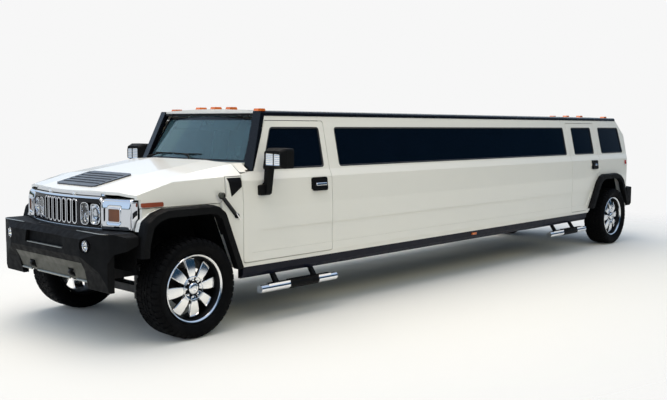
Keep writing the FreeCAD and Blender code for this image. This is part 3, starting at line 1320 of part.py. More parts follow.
def front_bumper():
    """Chamfered front bumper with lamp pockets and a bare recess in the middle."""
    x = FRONT_AXLE_X
    rear_x = front_arch_line()[-1][0] + SEAT_GAP * 2
    side = [
        (rear_x, GRILLE_LOW_Z), (BUMPER_FACE_X - 60.0, GRILLE_LOW_Z, 12.0),
        (BUMPER_FACE_X, BUMPER_TOP_Z - 60.0), (BUMPER_FACE_X, BUMPER_CREASE_Z),
        (BUMPER_FACE_X - 60.0, 640.0, 20.0), (BUMPER_FACE_X - 96.0, BUMPER_LOW_Z, 12.0),
        (BUMPER_FACE_X - 220.0, BUMPER_LOW_Z, 12.0), (rear_x, 735.0),
    ]
    beam = prism(side, "XZ", -BUMPER_CORNER_Y, BUMPER_CORNER_Y)
    plan = symmetric([
        (rear_x - 10.0, BUMPER_CORNER_Y), (BUMPER_FACE_X - 190.0, BUMPER_CORNER_Y, 30.0),
        (BUMPER_FACE_X - 90.0, 880.0, 40.0), (BUMPER_FACE_X, 590.0, 40.0),
    ])
    front = [
        (-BUMPER_CORNER_Y, 735.0, 20.0), (-860.0, BUMPER_LOW_Z, 30.0), (860.0, BUMPER_LOW_Z, 30.0),
        (BUMPER_CORNER_Y, 735.0, 20.0), (BUMPER_CORNER_Y, BUMPER_TOP_Z - 30.0, 20.0),
        (900.0, BUMPER_TOP_Z, 20.0), (-900.0, BUMPER_TOP_Z, 20.0), (-BUMPER_CORNER_Y, BUMPER_TOP_Z - 30.0, 20.0),
    ]
    bumper = beam.common(prism(plan, "XY", 300.0, 1200.0)).common(prism(front, "YZ", x, x + 1200.0))
    inside = box((rear_x - 10.0, -870.0, 300.0), (BUMPER_FACE_X - 150.0, 870.0, GRILLE_LOW_Z - BUMPER_SHELF))
    skid_bay = box((x, -SKID_HALF_WIDTH - SEAT_GAP, 300.0), (x + 1200.0, SKID_HALF_WIDTH + SEAT_GAP, 700.0))
    recess = prism([(-330.0, 800.0, 14.0), (330.0, 800.0, 14.0), (300.0, 905.0, 14.0), (-300.0, 905.0, 14.0)],
                   "YZ", BUMPER_FACE_X - PLATE_RECESS, BUMPER_FACE_X + 10.0)
    pockets = []
    for y in (FOG_LAMP_Y, -FOG_LAMP_Y):
        pockets.append(rod((BUMPER_FACE_X - FOG_LAMP_INSET - FOG_LAMP_DEPTH - SEAT_GAP, y, FOG_LAMP_Z),
                           (BUMPER_FACE_X + 20.0, y, FOG_LAMP_Z), FOG_LAMP_RADIUS + SEAT_GAP))
    side_edge = [
        (rear_x - 20.0, BUMPER_TOP_Z - 90.0), (BUMPER_FACE_X - 116.0, BUMPER_TOP_Z - 168.0),
        (BUMPER_FACE_X - 78.0, BUMPER_TOP_Z - 250.0), (BUMPER_FACE_X - 62.0, 300.0), (rear_x - 20.0, 300.0),
    ]
    undercut = prism(side_edge, "XZ", 864.0, BUMPER_CORNER_Y + 50.0)
    cuts = [inside, skid_bay, recess, undercut, mirrored(undercut)]
    cuts += plate_holes(BUMPER_FACE_X - PLATE_RECESS, FRONT_PLATE_Z, -1.0)
    return bumper.cut(cuts + pockets)


def skid_plate():
    """Bare metal skid plate under the middle of the bumper, with two tow-hook notches."""
    lift = 700.0 - SEAT_GAP
    side = [
        (BUMPER_FACE_X - 30.0, lift), (BUMPER_FACE_X - 62.0, 640.0, 20.0), (BUMPER_FACE_X - 96.0, BUMPER_LOW_Z + 60.0, 20.0),
        (BUMPER_FACE_X - 250.0, BUMPER_LOW_Z + 30.0), (BUMPER_FACE_X - 250.0, BUMPER_LOW_Z + 55.0),
        (BUMPER_FACE_X - 120.0, BUMPER_LOW_Z + 84.0), (BUMPER_FACE_X - 90.0, 650.0), (BUMPER_FACE_X - 58.0, lift),
    ]
    plate = prism(side, "XZ", -SKID_HALF_WIDTH, SKID_HALF_WIDTH)
    notches = [box((BUMPER_FACE_X - 300.0, y - 45.0, 560.0), (BUMPER_FACE_X, y + 45.0, 630.0)) for y in (-330.0, 330.0)]
    return plate.cut(notches)


def rear_bumper():
    """Rear bumper with a step top, wrapped round the body's corners."""
    x = REAR_AXLE_X
    front_x = rear_arch_line()[0][0] - 4.0
    top = GATE_SILL_Z - 22.0
    side = [
        (front_x, top), (REAR_BUMPER_FACE_X + 16.0, top), (REAR_BUMPER_FACE_X, top - 16.0),
        (REAR_BUMPER_FACE_X, top - 110.0), (REAR_BUMPER_FACE_X + 60.0, 650.0, 20.0),
        (REAR_BUMPER_FACE_X + 190.0, 565.0, 20.0), (front_x, 565.0),
    ]
    beam = prism(side, "XZ", -BUMPER_CORNER_Y, BUMPER_CORNER_Y)
    plan = symmetric([
        (front_x + 10.0, BUMPER_CORNER_Y), (REAR_BUMPER_FACE_X + 130.0, BUMPER_CORNER_Y, 40.0),
        (REAR_BUMPER_FACE_X, 840.0, 60.0),
    ])
    beam = beam.common(prism(plan, "XY", 300.0, 1200.0))
    body = box((TAIL_X - SEAT_GAP, -SKIN_Y - SEAT_GAP, 500.0), (x, SKIN_Y + SEAT_GAP, 1200.0))
    return beam.cut([body] + plate_holes(REAR_BUMPER_FACE_X, REAR_PLATE_Z, 1.0))


def tail_lamp():
    """Upright tail lamp in the tail panel beside the tailgate."""
    points = [(700.0, 1010.0, 14.0), (826.0, 1010.0, 14.0), (826.0, 1330.0, 14.0), (700.0, 1330.0, 14.0)]
    return points


def tail_lamp_pocket():
    """The pocket for a tail lamp, a seat gap larger all round."""
    (low_y, low_z, radius), _, (high_y, high_z, _), _ = tail_lamp()
    gap = SEAT_GAP
    return [(low_y - gap, low_z - gap, radius), (high_y + gap, low_z - gap, radius),
            (high_y + gap, high_z + gap, radius), (low_y - gap, high_z + gap, radius)]


def tail_lamps():
    """Tail lamps, proud of the tail by a lens."""
    lens = prism(tail_lamp(), "YZ", TAIL_X - 14.0, TAIL_X + 26.0 - SEAT_GAP)
    return both_sides(lens)


# Frame and running gear

def ladder_frame():
    """Two channel rails, raised over the axles, and crossmembers between their webs."""
    top, low = RAIL_TOP_Z, RAIL_TOP_Z - RAIL_HEIGHT
    arch_low = RAIL_TOP_Z - RAIL_AXLE_HEIGHT
    outline = [
        (RAIL_REAR_X, top), (RAIL_REAR_X, arch_low), (REAR_AXLE_X + 330.0, arch_low),
        (REAR_AXLE_X + 480.0, low), (FRONT_AXLE_X - 560.0, low), (FRONT_AXLE_X - 410.0, arch_low),
        (RAIL_FRONT_X, arch_low), (RAIL_FRONT_X, top),
    ]
    inner = offset_path(outline + outline[:2], RAIL_WALL)[1:-1]
    outer_y, inner_y = RAIL_Y + RAIL_WIDTH / 2, RAIL_Y - RAIL_WIDTH / 2
    rail = prism(outline, "XZ", inner_y, outer_y).cut(prism(inner, "XZ", inner_y - 1.0, outer_y - RAIL_WALL))
    z = RAIL_TOP_Z - RAIL_AXLE_HEIGHT / 2
    start, end = RAIL_REAR_X + 90.0, RAIL_FRONT_X - 90.0
    bars = []
    for index in range(CROSSMEMBER_COUNT):
        x = start + (end - start) * index / (CROSSMEMBER_COUNT - 1)
        bars.append(box((x - CROSSMEMBER_WIDTH / 2, RAIL_WALL - outer_y, z - CROSSMEMBER_HEIGHT / 2),
                        (x + CROSSMEMBER_WIDTH / 2, outer_y - RAIL_WALL, z + CROSSMEMBER_HEIGHT / 2)))
    return fuse_all([rail, mirrored(rail)] + bars)


def floor_pan():
    """Cabin floor between the walls, cut round the rear wheel houses."""
    front = BULKHEAD_X + 30.0
    rear = TAIL_X + TAIL_WALL + SEAT_GAP
    floor = cabin_core(front, rear, FLOOR_Z, FLOOR_Z + FLOOR_THICKNESS)
    house = prism(arch_area(rear_arch_line(), FLARE_BAND - 20.0 - LINER_WALL - SEAT_GAP), "XZ",
                  LINER_INNER_Y - SEAT_GAP, SKIN_Y)
    return floor.cut([house, mirrored(house)])


def knuckle():
    """Left steering knuckle with its pins and stub axle."""
    x, y, z = FRONT_AXLE_X, KINGPIN_Y, TYRE_RADIUS
    upright = box((x - 38.0, y - 24.0, z - 100.0), (x + 38.0, y + 24.0, z + 100.0))
    pins = rod((x, y, z - KNUCKLE_PIN_REACH), (x, y, z + KNUCKLE_PIN_REACH), KNUCKLE_PIN_RADIUS)
    stub = rod((x, y, z), (x, TRACK / 2 + HUB_BORE_DEPTH, z), STUB_RADIUS)
    arm = box((x - 170.0, y - 60.0, z - 14.0), (x - 20.0, y - 24.0, z + 14.0))
    return fuse_all([upright, pins, stub, arm])


def wishbone(z):
    """One left wishbone: two legs from the rail to an eye round the knuckle's pin."""
    x, y = FRONT_AXLE_X, KINGPIN_Y
    rail_y = RAIL_Y + RAIL_WIDTH / 2 + SEAT_GAP
    half = WISHBONE_THICKNESS / 2
    plate = prism([
        (x - 190.0, rail_y), (x - 150.0, rail_y), (x, y - 60.0), (x + 150.0, rail_y), (x + 190.0, rail_y),
        (x + 30.0, y, 20.0), (x + 30.0, y + 28.0, 20.0), (x - 30.0, y + 28.0, 20.0), (x - 30.0, y, 20.0),
    ], "XY", z - half, z + half)
    eye = rod((x, y, z - half), (x, y, z + half), KNUCKLE_PIN_RADIUS + RUNNING_CLEARANCE)
    return plate.cut(eye)


def front_suspension():
    """Upper and lower wishbones and the crossmember that carries them."""
    rise = 100.0 + 10.0 + WISHBONE_THICKNESS / 2
    arms = [wishbone(TYRE_RADIUS + rise), wishbone(TYRE_RADIUS - rise)]
    rail_y = RAIL_Y + RAIL_WIDTH / 2
    low = TYRE_RADIUS - rise - 20.0
    tower_top = RAIL_TOP_Z - RAIL_AXLE_HEIGHT - SEAT_GAP
    tower = box((FRONT_AXLE_X - 200.0, rail_y - 60.0, low), (FRONT_AXLE_X + 200.0, rail_y + SEAT_GAP, tower_top))
    beam = box((FRONT_AXLE_X - 60.0, -rail_y, low), (FRONT_AXLE_X + 60.0, rail_y, low + 70.0))
    return fuse_all([beam, tower, mirrored(tower)] + arms + [mirrored(arm) for arm in arms])


def rear_axle():
    """Live rear axle with its differential, spring seats, stubs and propeller shaft."""
    x, z = REAR_AXLE_X, TYRE_RADIUS
    tip = TRACK / 2 + HUB_BORE_DEPTH
    inner = TRACK / 2 - 125.0
    pieces = [rod((x, -inner, z), (x, inner, z), AXLE_TUBE_RADIUS), rod((x, -tip, z), (x, tip, z), STUB_RADIUS)]
    pieces.append(revolved([
        (-120.0, 0.0), (-120.0, 60.0), (-60.0, DIFFERENTIAL_RADIUS), (60.0, DIFFERENTIAL_RADIUS), (120.0, 60.0),
        (120.0, 0.0)], (x, 0, z), (0, 1, 0)))
    pieces.append(rod((x, 0, z), (x + 210.0, 0, z), 58.0))
    seat_top = RAIL_TOP_Z - RAIL_AXLE_HEIGHT - SEAT_GAP
    for y in (-RAIL_Y, RAIL_Y):
        pieces.append(box((x - 60.0, y - 34.0, z), (x + 60.0, y + 34.0, seat_top)))
    pieces.append(rod((x + 200.0, 0, z), (FRONT_AXLE_X - 700.0, 0, z), 42.0))
    return fuse_all(pieces)


def wheel_turned(points, side_y):
    """A turned shape on a wheel's centre; distances run outward from the wheel's middle."""
    return revolved(points, (0, side_y, TYRE_RADIUS), (0, 1, 0))


def wheel_rim():
    """Left wheel at the origin of the axle line: barrel, spokes, hub, cap and brake disc."""
    y, half = TRACK / 2, RIM_WIDTH / 2
    inside = RIM_RADIUS - RIM_WALL
    barrel = wheel_turned([(-half, RIM_RADIUS), (half, RIM_RADIUS), (half, inside), (-half, inside)], y)
    face = half - SPOKE_FACE_INSET
    disc = half - 22.0
    hub = wheel_turned([(-disc, 0.0), (-disc, HUB_RADIUS), (face, HUB_RADIUS), (face, 0.0)], y)
    brake = wheel_turned([
        (-disc, HUB_RADIUS - 5.0), (-disc, DISC_RADIUS), (DISC_THICKNESS - disc, DISC_RADIUS),
        (DISC_THICKNESS - disc, HUB_RADIUS - 5.0)], y)
    cap = wheel_turned([
        (face - 2.0, 0.0), (face - 2.0, HUB_CAP_RADIUS), (face + HUB_CAP_HEIGHT, HUB_CAP_RADIUS - 8.0),
        (face + HUB_CAP_HEIGHT, 0.0)], y)
    spokes = []
    for index in range(SPOKE_COUNT):
        spoke = prism([
            (-SPOKE_WIDTH * 0.36, HUB_RADIUS - 10.0), (SPOKE_WIDTH * 0.36, HUB_RADIUS - 10.0),
            (SPOKE_WIDTH * 0.5, inside + 5.0), (-SPOKE_WIDTH * 0.5, inside + 5.0),
        ], "XZ", y + face - SPOKE_DEPTH, y + face - 4.0)
        spoke.rotate(at(0, 0, 0), at(0, 1, 0), (index + 0.5) * 360.0 / SPOKE_COUNT)
        spoke.translate(at(0, 0, TYRE_RADIUS))
        spokes.append(spoke)
    bore = rod((0, y - half - 10.0, TYRE_RADIUS), (0, y + HUB_BORE_DEPTH + 2.0, TYRE_RADIUS),
               STUB_RADIUS + RUNNING_CLEARANCE)
    return fuse_all([barrel, hub, brake, cap] + spokes).cut(bore)


def turned_flats(points, centre, sides):
    """A shape turned about a Y axis in flat facets; points are (along, radius) of the facets' middles."""
    corner = 1.0 / math.cos(math.pi / sides)
    turns = [2.0 * math.pi * (index + 0.5) / sides for index in range(sides + 1)]
    faces = []
    for (y0, r0), (y1, r1) in zip(points, points[1:] + points[:1]):
        for start, end in zip(turns, turns[1:]):
            corners = [
                at(centre[0] + r * corner * math.sin(turn), centre[1] + y, centre[2] + r * corner * math.cos(turn))
                for y, r, turn in ((y0, r0, start), (y0, r0, end), (y1, r1, end), (y1, r1, start))
            ]
            faces.append(Part.Face(Part.makePolygon(corners + corners[:1])))
    solid = Part.makeSolid(Part.makeShell(faces))
    return solid if solid.Volume > 0 else solid.reversed()


def wheel_tyre():
    """Left tyre at the origin of the axle line, without its tread pattern."""
    half = TYRE_WIDTH / 2
    seat = RIM_RADIUS + SEAT_GAP
    bead = half - TYRE_BEAD_INSET
    side = [(bead, seat), (half, seat + TYRE_SIDE_RISE), (half - 4.0, TYRE_RADIUS - TYRE_SHOULDER),
            (half - TYRE_SHOULDER, TYRE_RADIUS)]
    points = [(-y, r) for y, r in side] + side[::-1]
    return turned_flats(points, (0.0, TRACK / 2, TYRE_RADIUS), TYRE_SIDES)


def on_axle(shape, axle_x, left):
    """A wheel piece moved to its axle and side."""
    placed = shape.copy()
    placed.translate(at(axle_x, 0, 0))
    return placed if left else mirrored(placed)


def engine_block():
    """Engine as one plain block, with the radiator pack ahead of it."""
    x = FRONT_AXLE_X
    block = box((x - 470.0, -270.0, RAIL_TOP_Z - 20.0), (x + 300.0, 270.0, 1180.0))
    core = box((x + 400.0, -360.0, RAIL_TOP_Z + SEAT_GAP), (x + 470.0, 360.0, 1150.0))
    mounts = box((x - 120.0, -RAIL_Y - 20.0, RAIL_TOP_Z + SEAT_GAP), (x - 20.0, RAIL_Y + 20.0, RAIL_TOP_Z + 60.0))
    feet = box((x + 400.0, -RAIL_Y - 20.0, RAIL_TOP_Z + SEAT_GAP), (x + 470.0, RAIL_Y + 20.0, RAIL_TOP_Z + 50.0))
    return ring([block.fuse(mounts).removeSplitter(), core.fuse(feet).removeSplitter()])


def exhaust_and_tank():
    """Exhaust pipe with its silencer on one side, and the fuel tank on the other."""
    y, z = -560.0, RAIL_TOP_Z - 90.0
    pipe = rod((REAR_AXLE_X + 900.0, y, z), (FRONT_AXLE_X - 900.0, y, z), 32.0)
    silencer = rod((REAR_AXLE_X + 1400.0, y, z), (REAR_AXLE_X + 2100.0, y, z), 88.0)
    hangers = []
    for x in (REAR_AXLE_X + 1200.0, (FRONT_AXLE_X + REAR_AXLE_X) / 2, FRONT_AXLE_X - 1100.0):
        hangers.append(box((x - 15.0, y - 8.0, z), (x + 15.0, y + 8.0, FLOOR_Z - SEAT_GAP)))
    tank = prism([(470.0, 400.0, 40.0), (840.0, 400.0, 60.0), (840.0, FLOOR_Z - SEAT_GAP), (470.0, FLOOR_Z - SEAT_GAP)],
                 "YZ", REAR_AXLE_X + 1300.0, REAR_AXLE_X + 2300.0)
    return ring([fuse_all([pipe, silencer] + hangers), tank])


# Cabin

def dashboard():
    """Dashboard across the cabin with the steering column and wheel."""
    wall_x = BULKHEAD_X - SEAT_GAP
    top = BELT_Z - SCUTTLE_THICKNESS - 4.0
    side = [
        (wall_x, top), (wall_x, 980.0), (wall_x - 130.0, 960.0, 30.0), (wall_x - 250.0, 1120.0, 60.0),
        (wall_x - 200.0, top - 40.0, 60.0), (wall_x - 120.0, top, 40.0),
    ]
    half = inner_skin()[2][0] - 22.0
    dash = prism(side, "XZ", -half, half)
    start = at(wall_x - 180.0, SEAT_Y, 1180.0)
    along = at(-1.0, 0, 0.42).normalize()
    column = Part.makeCylinder(24.0, 170.0, start, along)
    hub = start + along * 165.0
    rim = Part.makeCylinder(198.0, 24.0, hub - along * 12.0, along)
    rim = rim.cut(Part.makeCylinder(174.0, 30.0, hub - along * 15.0, along))
    boss = Part.makeCylinder(50.0, 24.0, hub - along * 12.0, along)
    spokes = []
    for angle in (0.0, 120.0, 240.0):
        spoke = Part.makeBox(14.0, 182.0, 34.0, at(-7.0, 0, -17.0))
        spoke.rotate(at(0, 0, 0), at(1, 0, 0), angle)
        spoke.rotate(at(0, 0, 0), at(0, 1, 0), math.degrees(math.atan2(0.42, 1.0)))
        spoke.translate(hub)
        spokes.append(spoke)
    return fuse_all([dash, column, boss, rim] + spokes)


def chair(x, y, width):
    """A seat seen from the side, extruded to its width."""
    floor = FLOOR_Z + FLOOR_THICKNESS + SEAT_GAP
    cushion_top = floor + SEAT_HEIGHT
    side = [
        (x, floor), (x + 8.0, cushion_top - 10.0, 40.0), (x - SEAT_DEPTH, cushion_top - 30.0),
        (x - SEAT_DEPTH - 130.0, cushion_top + SEAT_BACK_HEIGHT, 50.0),
        (x - SEAT_DEPTH - 240.0, cushion_top + SEAT_BACK_HEIGHT - 20.0, 50.0),
        (x - SEAT_DEPTH - 110.0, cushion_top - 60.0, 40.0), (x - SEAT_DEPTH - 90.0, floor),
    ]
    return prism(side, "XZ", y - width / 2, y + width / 2)


def front_seats():
    """Driver's and passenger's seats."""
    return both_sides(chair(SEAT_FRONT_X, SEAT_Y, SEAT_WIDTH))


def saloon_bench():
    """Rear bench across the car and the long bench down the right side."""
    floor = FLOOR_Z + FLOOR_THICKNESS + SEAT_GAP
    rear = chair(REAR_AXLE_X + 210.0, 0.0, 2 * LINER_INNER_Y - 40.0)
    wall_y = -(inner_skin()[1][0] - 12.0)
    top = floor + SEAT_HEIGHT
    section = [
        (wall_y, floor), (wall_y + BENCH_DEPTH, floor), (wall_y + BENCH_DEPTH + 6.0, top - 10.0, 40.0),
        (wall_y + 130.0, top - 20.0), (wall_y + 100.0, top + 380.0, 40.0), (wall_y, top + 380.0, 20.0),
    ]
    side = prism(section, "YZ", BENCH_REAR_X, BENCH_FRONT_X)
    return ring([rear, side])


def saloon_furniture():
    """Partition behind the driver and the bar cabinet down the left side."""
    low = FLOOR_Z + FLOOR_THICKNESS + SEAT_GAP
    partition = cabin_core(PARTITION_X, PARTITION_X - PARTITION_THICKNESS, low, CANT_Z - SEAT_GAP)
    hatch = prism([(-520.0, 1390.0, 40.0), (520.0, 1390.0, 40.0), (480.0, 1790.0, 40.0), (-480.0, 1790.0, 40.0)],
                  "YZ", PARTITION_X - 200.0, PARTITION_X + 50.0)
    wall_y = inner_skin()[1][0] - 12.0
    bar = box((BENCH_REAR_X, wall_y - BAR_DEPTH, low), (BENCH_FRONT_X, wall_y, low + BAR_HEIGHT))
    count = 6
    run = (BENCH_FRONT_X - BENCH_REAR_X) / count
    bays = []
    for index in range(count):
        start = BENCH_REAR_X + run * index + 30.0
        bays.append(box((start, wall_y - BAR_DEPTH - 10.0, low + 60.0),
                        (start + run - 60.0, wall_y - 120.0, low + BAR_HEIGHT - 70.0)))
    return ring([partition.cut(hatch), bar.cut(bays)])


def export(nodes):
    """Writes one file for each node."""
    os.makedirs("parts", exist_ok=True)
    for name, shape in nodes.items():
        solids = shape.Solids
        keep = solids[0] if len(solids) == 1 else Part.makeCompound(solids)
        keep.exportStep("parts/" + name + ".step")


def build():
    """Every node by name."""
    side = body_side()
    rear = rear_frame().cut([prism(tail_lamp_pocket(), "YZ", TAIL_X - 10.0, TAIL_X + 26.0),
                             mirrored(prism(tail_lamp_pocket(), "YZ", TAIL_X - 10.0, TAIL_X + 26.0))])
    nodes = {
        "ladder_frame": ladder_frame(), "floor_pan": floor_pan(),
        "body_side_left": side, "body_side_right": mirrored(side),
        "roof_panel": roof_panel(), "pillars_and_gutters": pillars_and_gutters(),
        "cowl_bulkhead": cowl_bulkhead(), "windscreen": windscreen(), "side_glass": side_glass(),
        "front_wings": both_sides(front_wing()), "grille_shell": grille_shell(),
        "lamp_housing": lamp_housing(), "headlamps": headlamps(), "amber_lamps": amber_lamps(),
        "front_bumper": front_bumper(), "skid_plate": skid_plate(),
        "wheel_liners": wheel_liners(), "wheel_flares": wheel_flares(),
        "rockers": rockers(), "side_steps": side_steps(), "bonnet_latches": both_sides(bonnet_latch()), "cowl_vents": both_sides(cowl_vent()),
        "rear_frame": rear, "rear_bumper": rear_bumper(), "tail_lamps": tail_lamps(),
        "engine_block": engine_block(), "front_suspension": front_suspension(), "rear_axle": rear_axle(),
        "exhaust_and_tank": exhaust_and_tank(), "dashboard": dashboard(), "front_seats": front_seats(),
        "saloon_furniture": saloon_furniture(), "saloon_bench": saloon_bench(),
        "bonnet": bonnet(), "bonnet_vent": bonnet_vent(), "side_markers": both_sides(side_marker()),
        "tailgate": tailgate(), "tailgate_glass": tailgate_glass(),
    }
    front_door = door_panel(front_door_outline(), front_window(), FRONT_HANDLE_X)
    front_pane = glass_sheet(DOOR_FRONT_X, DOOR_REAR_X).common(through_side(front_window(SEAT_GAP)))
    front_fittings = ring([door_mirror(), handle_paddle(FRONT_HANDLE_X)])
    rear_door = ring([door_panel(rear_door_outline(), rear_window(), REAR_HANDLE_X), handle_paddle(REAR_HANDLE_X)])
    rear_pane = glass_sheet(REAR_DOOR_FRONT_X, REAR_DOOR_REAR_X).common(through_side(rear_window(SEAT_GAP)))
    for side_name, turn in (("left", lambda shape: shape), ("right", mirrored)):
        nodes["front_door_" + side_name] = turn(front_door)
        nodes["front_door_glass_" + side_name] = turn(front_pane)
        nodes["front_door_fittings_" + side_name] = turn(front_fittings)
        nodes["rear_door_" + side_name] = turn(rear_door)
        nodes["rear_door_glass_" + side_name] = turn(rear_pane)
        nodes["knuckle_" + side_name] = turn(knuckle())
    rim, tyre = wheel_rim(), wheel_tyre()
    for end, axle_x in (("front", FRONT_AXLE_X), ("rear", REAR_AXLE_X)):
        for side_name in ("left", "right"):
            left = side_name == "left"
            nodes["rim_" + end + "_" + side_name] = on_axle(rim, axle_x, left)
            nodes["tyre_" + end + "_" + side_name] = on_axle(tyre, axle_x, left)
    return nodes


export(build())
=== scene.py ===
"""Dresses the stretched limousine: finishes, wheels, lamps, trim, seats, camera, floor and light.

Everything is in metres in the vehicle's own frame: X forward, Y to its left, Z up from the ground.
"""

from __future__ import annotations

import json
import logging
import math
from collections.abc import Iterable, Sequence
from dataclasses import dataclass
from enum import Enum

import bmesh
import bpy
from mathutils import Matrix, Vector
from mathutils.geometry import tessellate_polygon

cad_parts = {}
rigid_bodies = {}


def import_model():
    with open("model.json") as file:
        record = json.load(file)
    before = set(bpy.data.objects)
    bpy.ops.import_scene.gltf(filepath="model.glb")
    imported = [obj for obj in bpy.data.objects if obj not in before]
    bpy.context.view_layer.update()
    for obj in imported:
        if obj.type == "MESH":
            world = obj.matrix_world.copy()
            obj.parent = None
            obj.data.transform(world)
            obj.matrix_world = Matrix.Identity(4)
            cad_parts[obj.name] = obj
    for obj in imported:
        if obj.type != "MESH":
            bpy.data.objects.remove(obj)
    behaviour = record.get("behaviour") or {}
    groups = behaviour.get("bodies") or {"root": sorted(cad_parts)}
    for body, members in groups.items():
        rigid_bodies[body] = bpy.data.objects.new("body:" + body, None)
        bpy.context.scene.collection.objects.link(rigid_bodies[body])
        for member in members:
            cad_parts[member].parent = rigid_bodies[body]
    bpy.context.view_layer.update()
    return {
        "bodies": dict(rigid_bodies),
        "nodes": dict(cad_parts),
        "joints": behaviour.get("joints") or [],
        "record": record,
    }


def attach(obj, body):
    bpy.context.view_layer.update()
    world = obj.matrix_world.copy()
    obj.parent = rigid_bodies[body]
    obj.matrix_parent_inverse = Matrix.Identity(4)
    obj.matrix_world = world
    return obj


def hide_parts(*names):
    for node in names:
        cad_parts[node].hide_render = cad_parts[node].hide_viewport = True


LOG = logging.getLogger("limousine")

Colour = tuple[float, float, float]
Point = tuple[float, float, float]
Flat = tuple[float, float]
Tree = bpy.types.NodeTree
Node = bpy.types.Node
Socket = bpy.types.NodeSocket
Piece = bpy.types.Object

FRONT_AXLE_X = 4.109
REAR_AXLE_X = -4.089
TINY = 1e-6
NOISE_SPAN = (0.3, 0.7)


class Side(Enum):
    """A side of the vehicle; the value is the sign of Y there."""

    LEFT = 1
    RIGHT = -1

    @property
    def word(self) -> str:
        """The side's name as the bodies and nodes use it."""
        return self.name.lower()


class End(Enum):
    """An end of the vehicle; the value is the X of its axle."""

    FRONT = FRONT_AXLE_X
    REAR = REAR_AXLE_X

    @property
    def word(self) -> str:
        """The end's name as the bodies and nodes use it."""
        return self.name.lower()


class Grain(Enum):
    """What a surface's fine relief looks like."""

    SMOOTH = "smooth"
    ORANGE_PEEL = "orange peel"
    PEBBLED = "pebbled"
    CAST = "cast"
    BRUSHED = "brushed"
    LEATHER = "leather"
    PILE = "pile"
    RIBBED = "ribbed"

    @property
    def stretch(self) -> Point:
        """How the relief is drawn out along X, Y and Z."""
        return {Grain.BRUSHED: (0.04, 1.0, 1.0), Grain.RIBBED: (1.0, 0.02, 0.02)}.get(self, (1.0, 1.0, 1.0))


def fed(tree: Tree, node: Node, inputs: dict) -> Node:
    """Sets a node's inputs.

    Args:
        tree: The nodes that it belongs to.
        node: The node.
        inputs: For each input, its value or the output that feeds it.

    Returns:
        The node.
    """
    for name, given in inputs.items():
        if isinstance(given, Socket):
            tree.links.new(given, node.inputs[name])
        else:
            node.inputs[name].default_value = given
    return node


def added(tree: Tree, kind: str, inputs: dict) -> Node:
    """Adds a node of a kind and sets its inputs."""
    return fed(tree, tree.nodes.new(f"ShaderNode{kind}"), inputs)


def ranged(tree: Tree, value: Socket, start: Flat, end: Flat, smooth: bool = False) -> Socket:
    """Maps a value from one span to another.

    Args:
        tree: The nodes.
        value: The value.
        start: Two values.
        end: What they become.
        smooth: Whether it eases in and out.

    Returns:
        The mapped value.
    """
    spread = added(tree, "MapRange", {"From Min": start[0], "From Max": start[1], "To Min": end[0],
        "To Max": end[1], "Value": value})
    spread.interpolation_type = "SMOOTHSTEP" if smooth else "LINEAR"
    return spread.outputs["Result"]


def product(tree: Tree, one: Socket, two: Socket) -> Socket:
    """Multiplies two values.

    Args:
        tree: The nodes.
        one: A value.
        two: Another value.

    Returns:
        Their product.
    """
    both = tree.nodes.new("ShaderNodeMath")
    both.operation = "MULTIPLY"
    return fed(tree, both, {0: one, 1: two}).outputs["Value"]


def both(*names: str) -> tuple[str, ...]:
    """Each name with the left side's word and with the right side's."""
    return tuple(f"{name}_{side.word}" for name in names for side in Side)


def rectangle(left: float, right: float, low: float, high: float) -> list[Flat]:
    """A rectangle's corners, from its lower left one round."""
    return [(left, low), (right, low), (right, high), (left, high)]


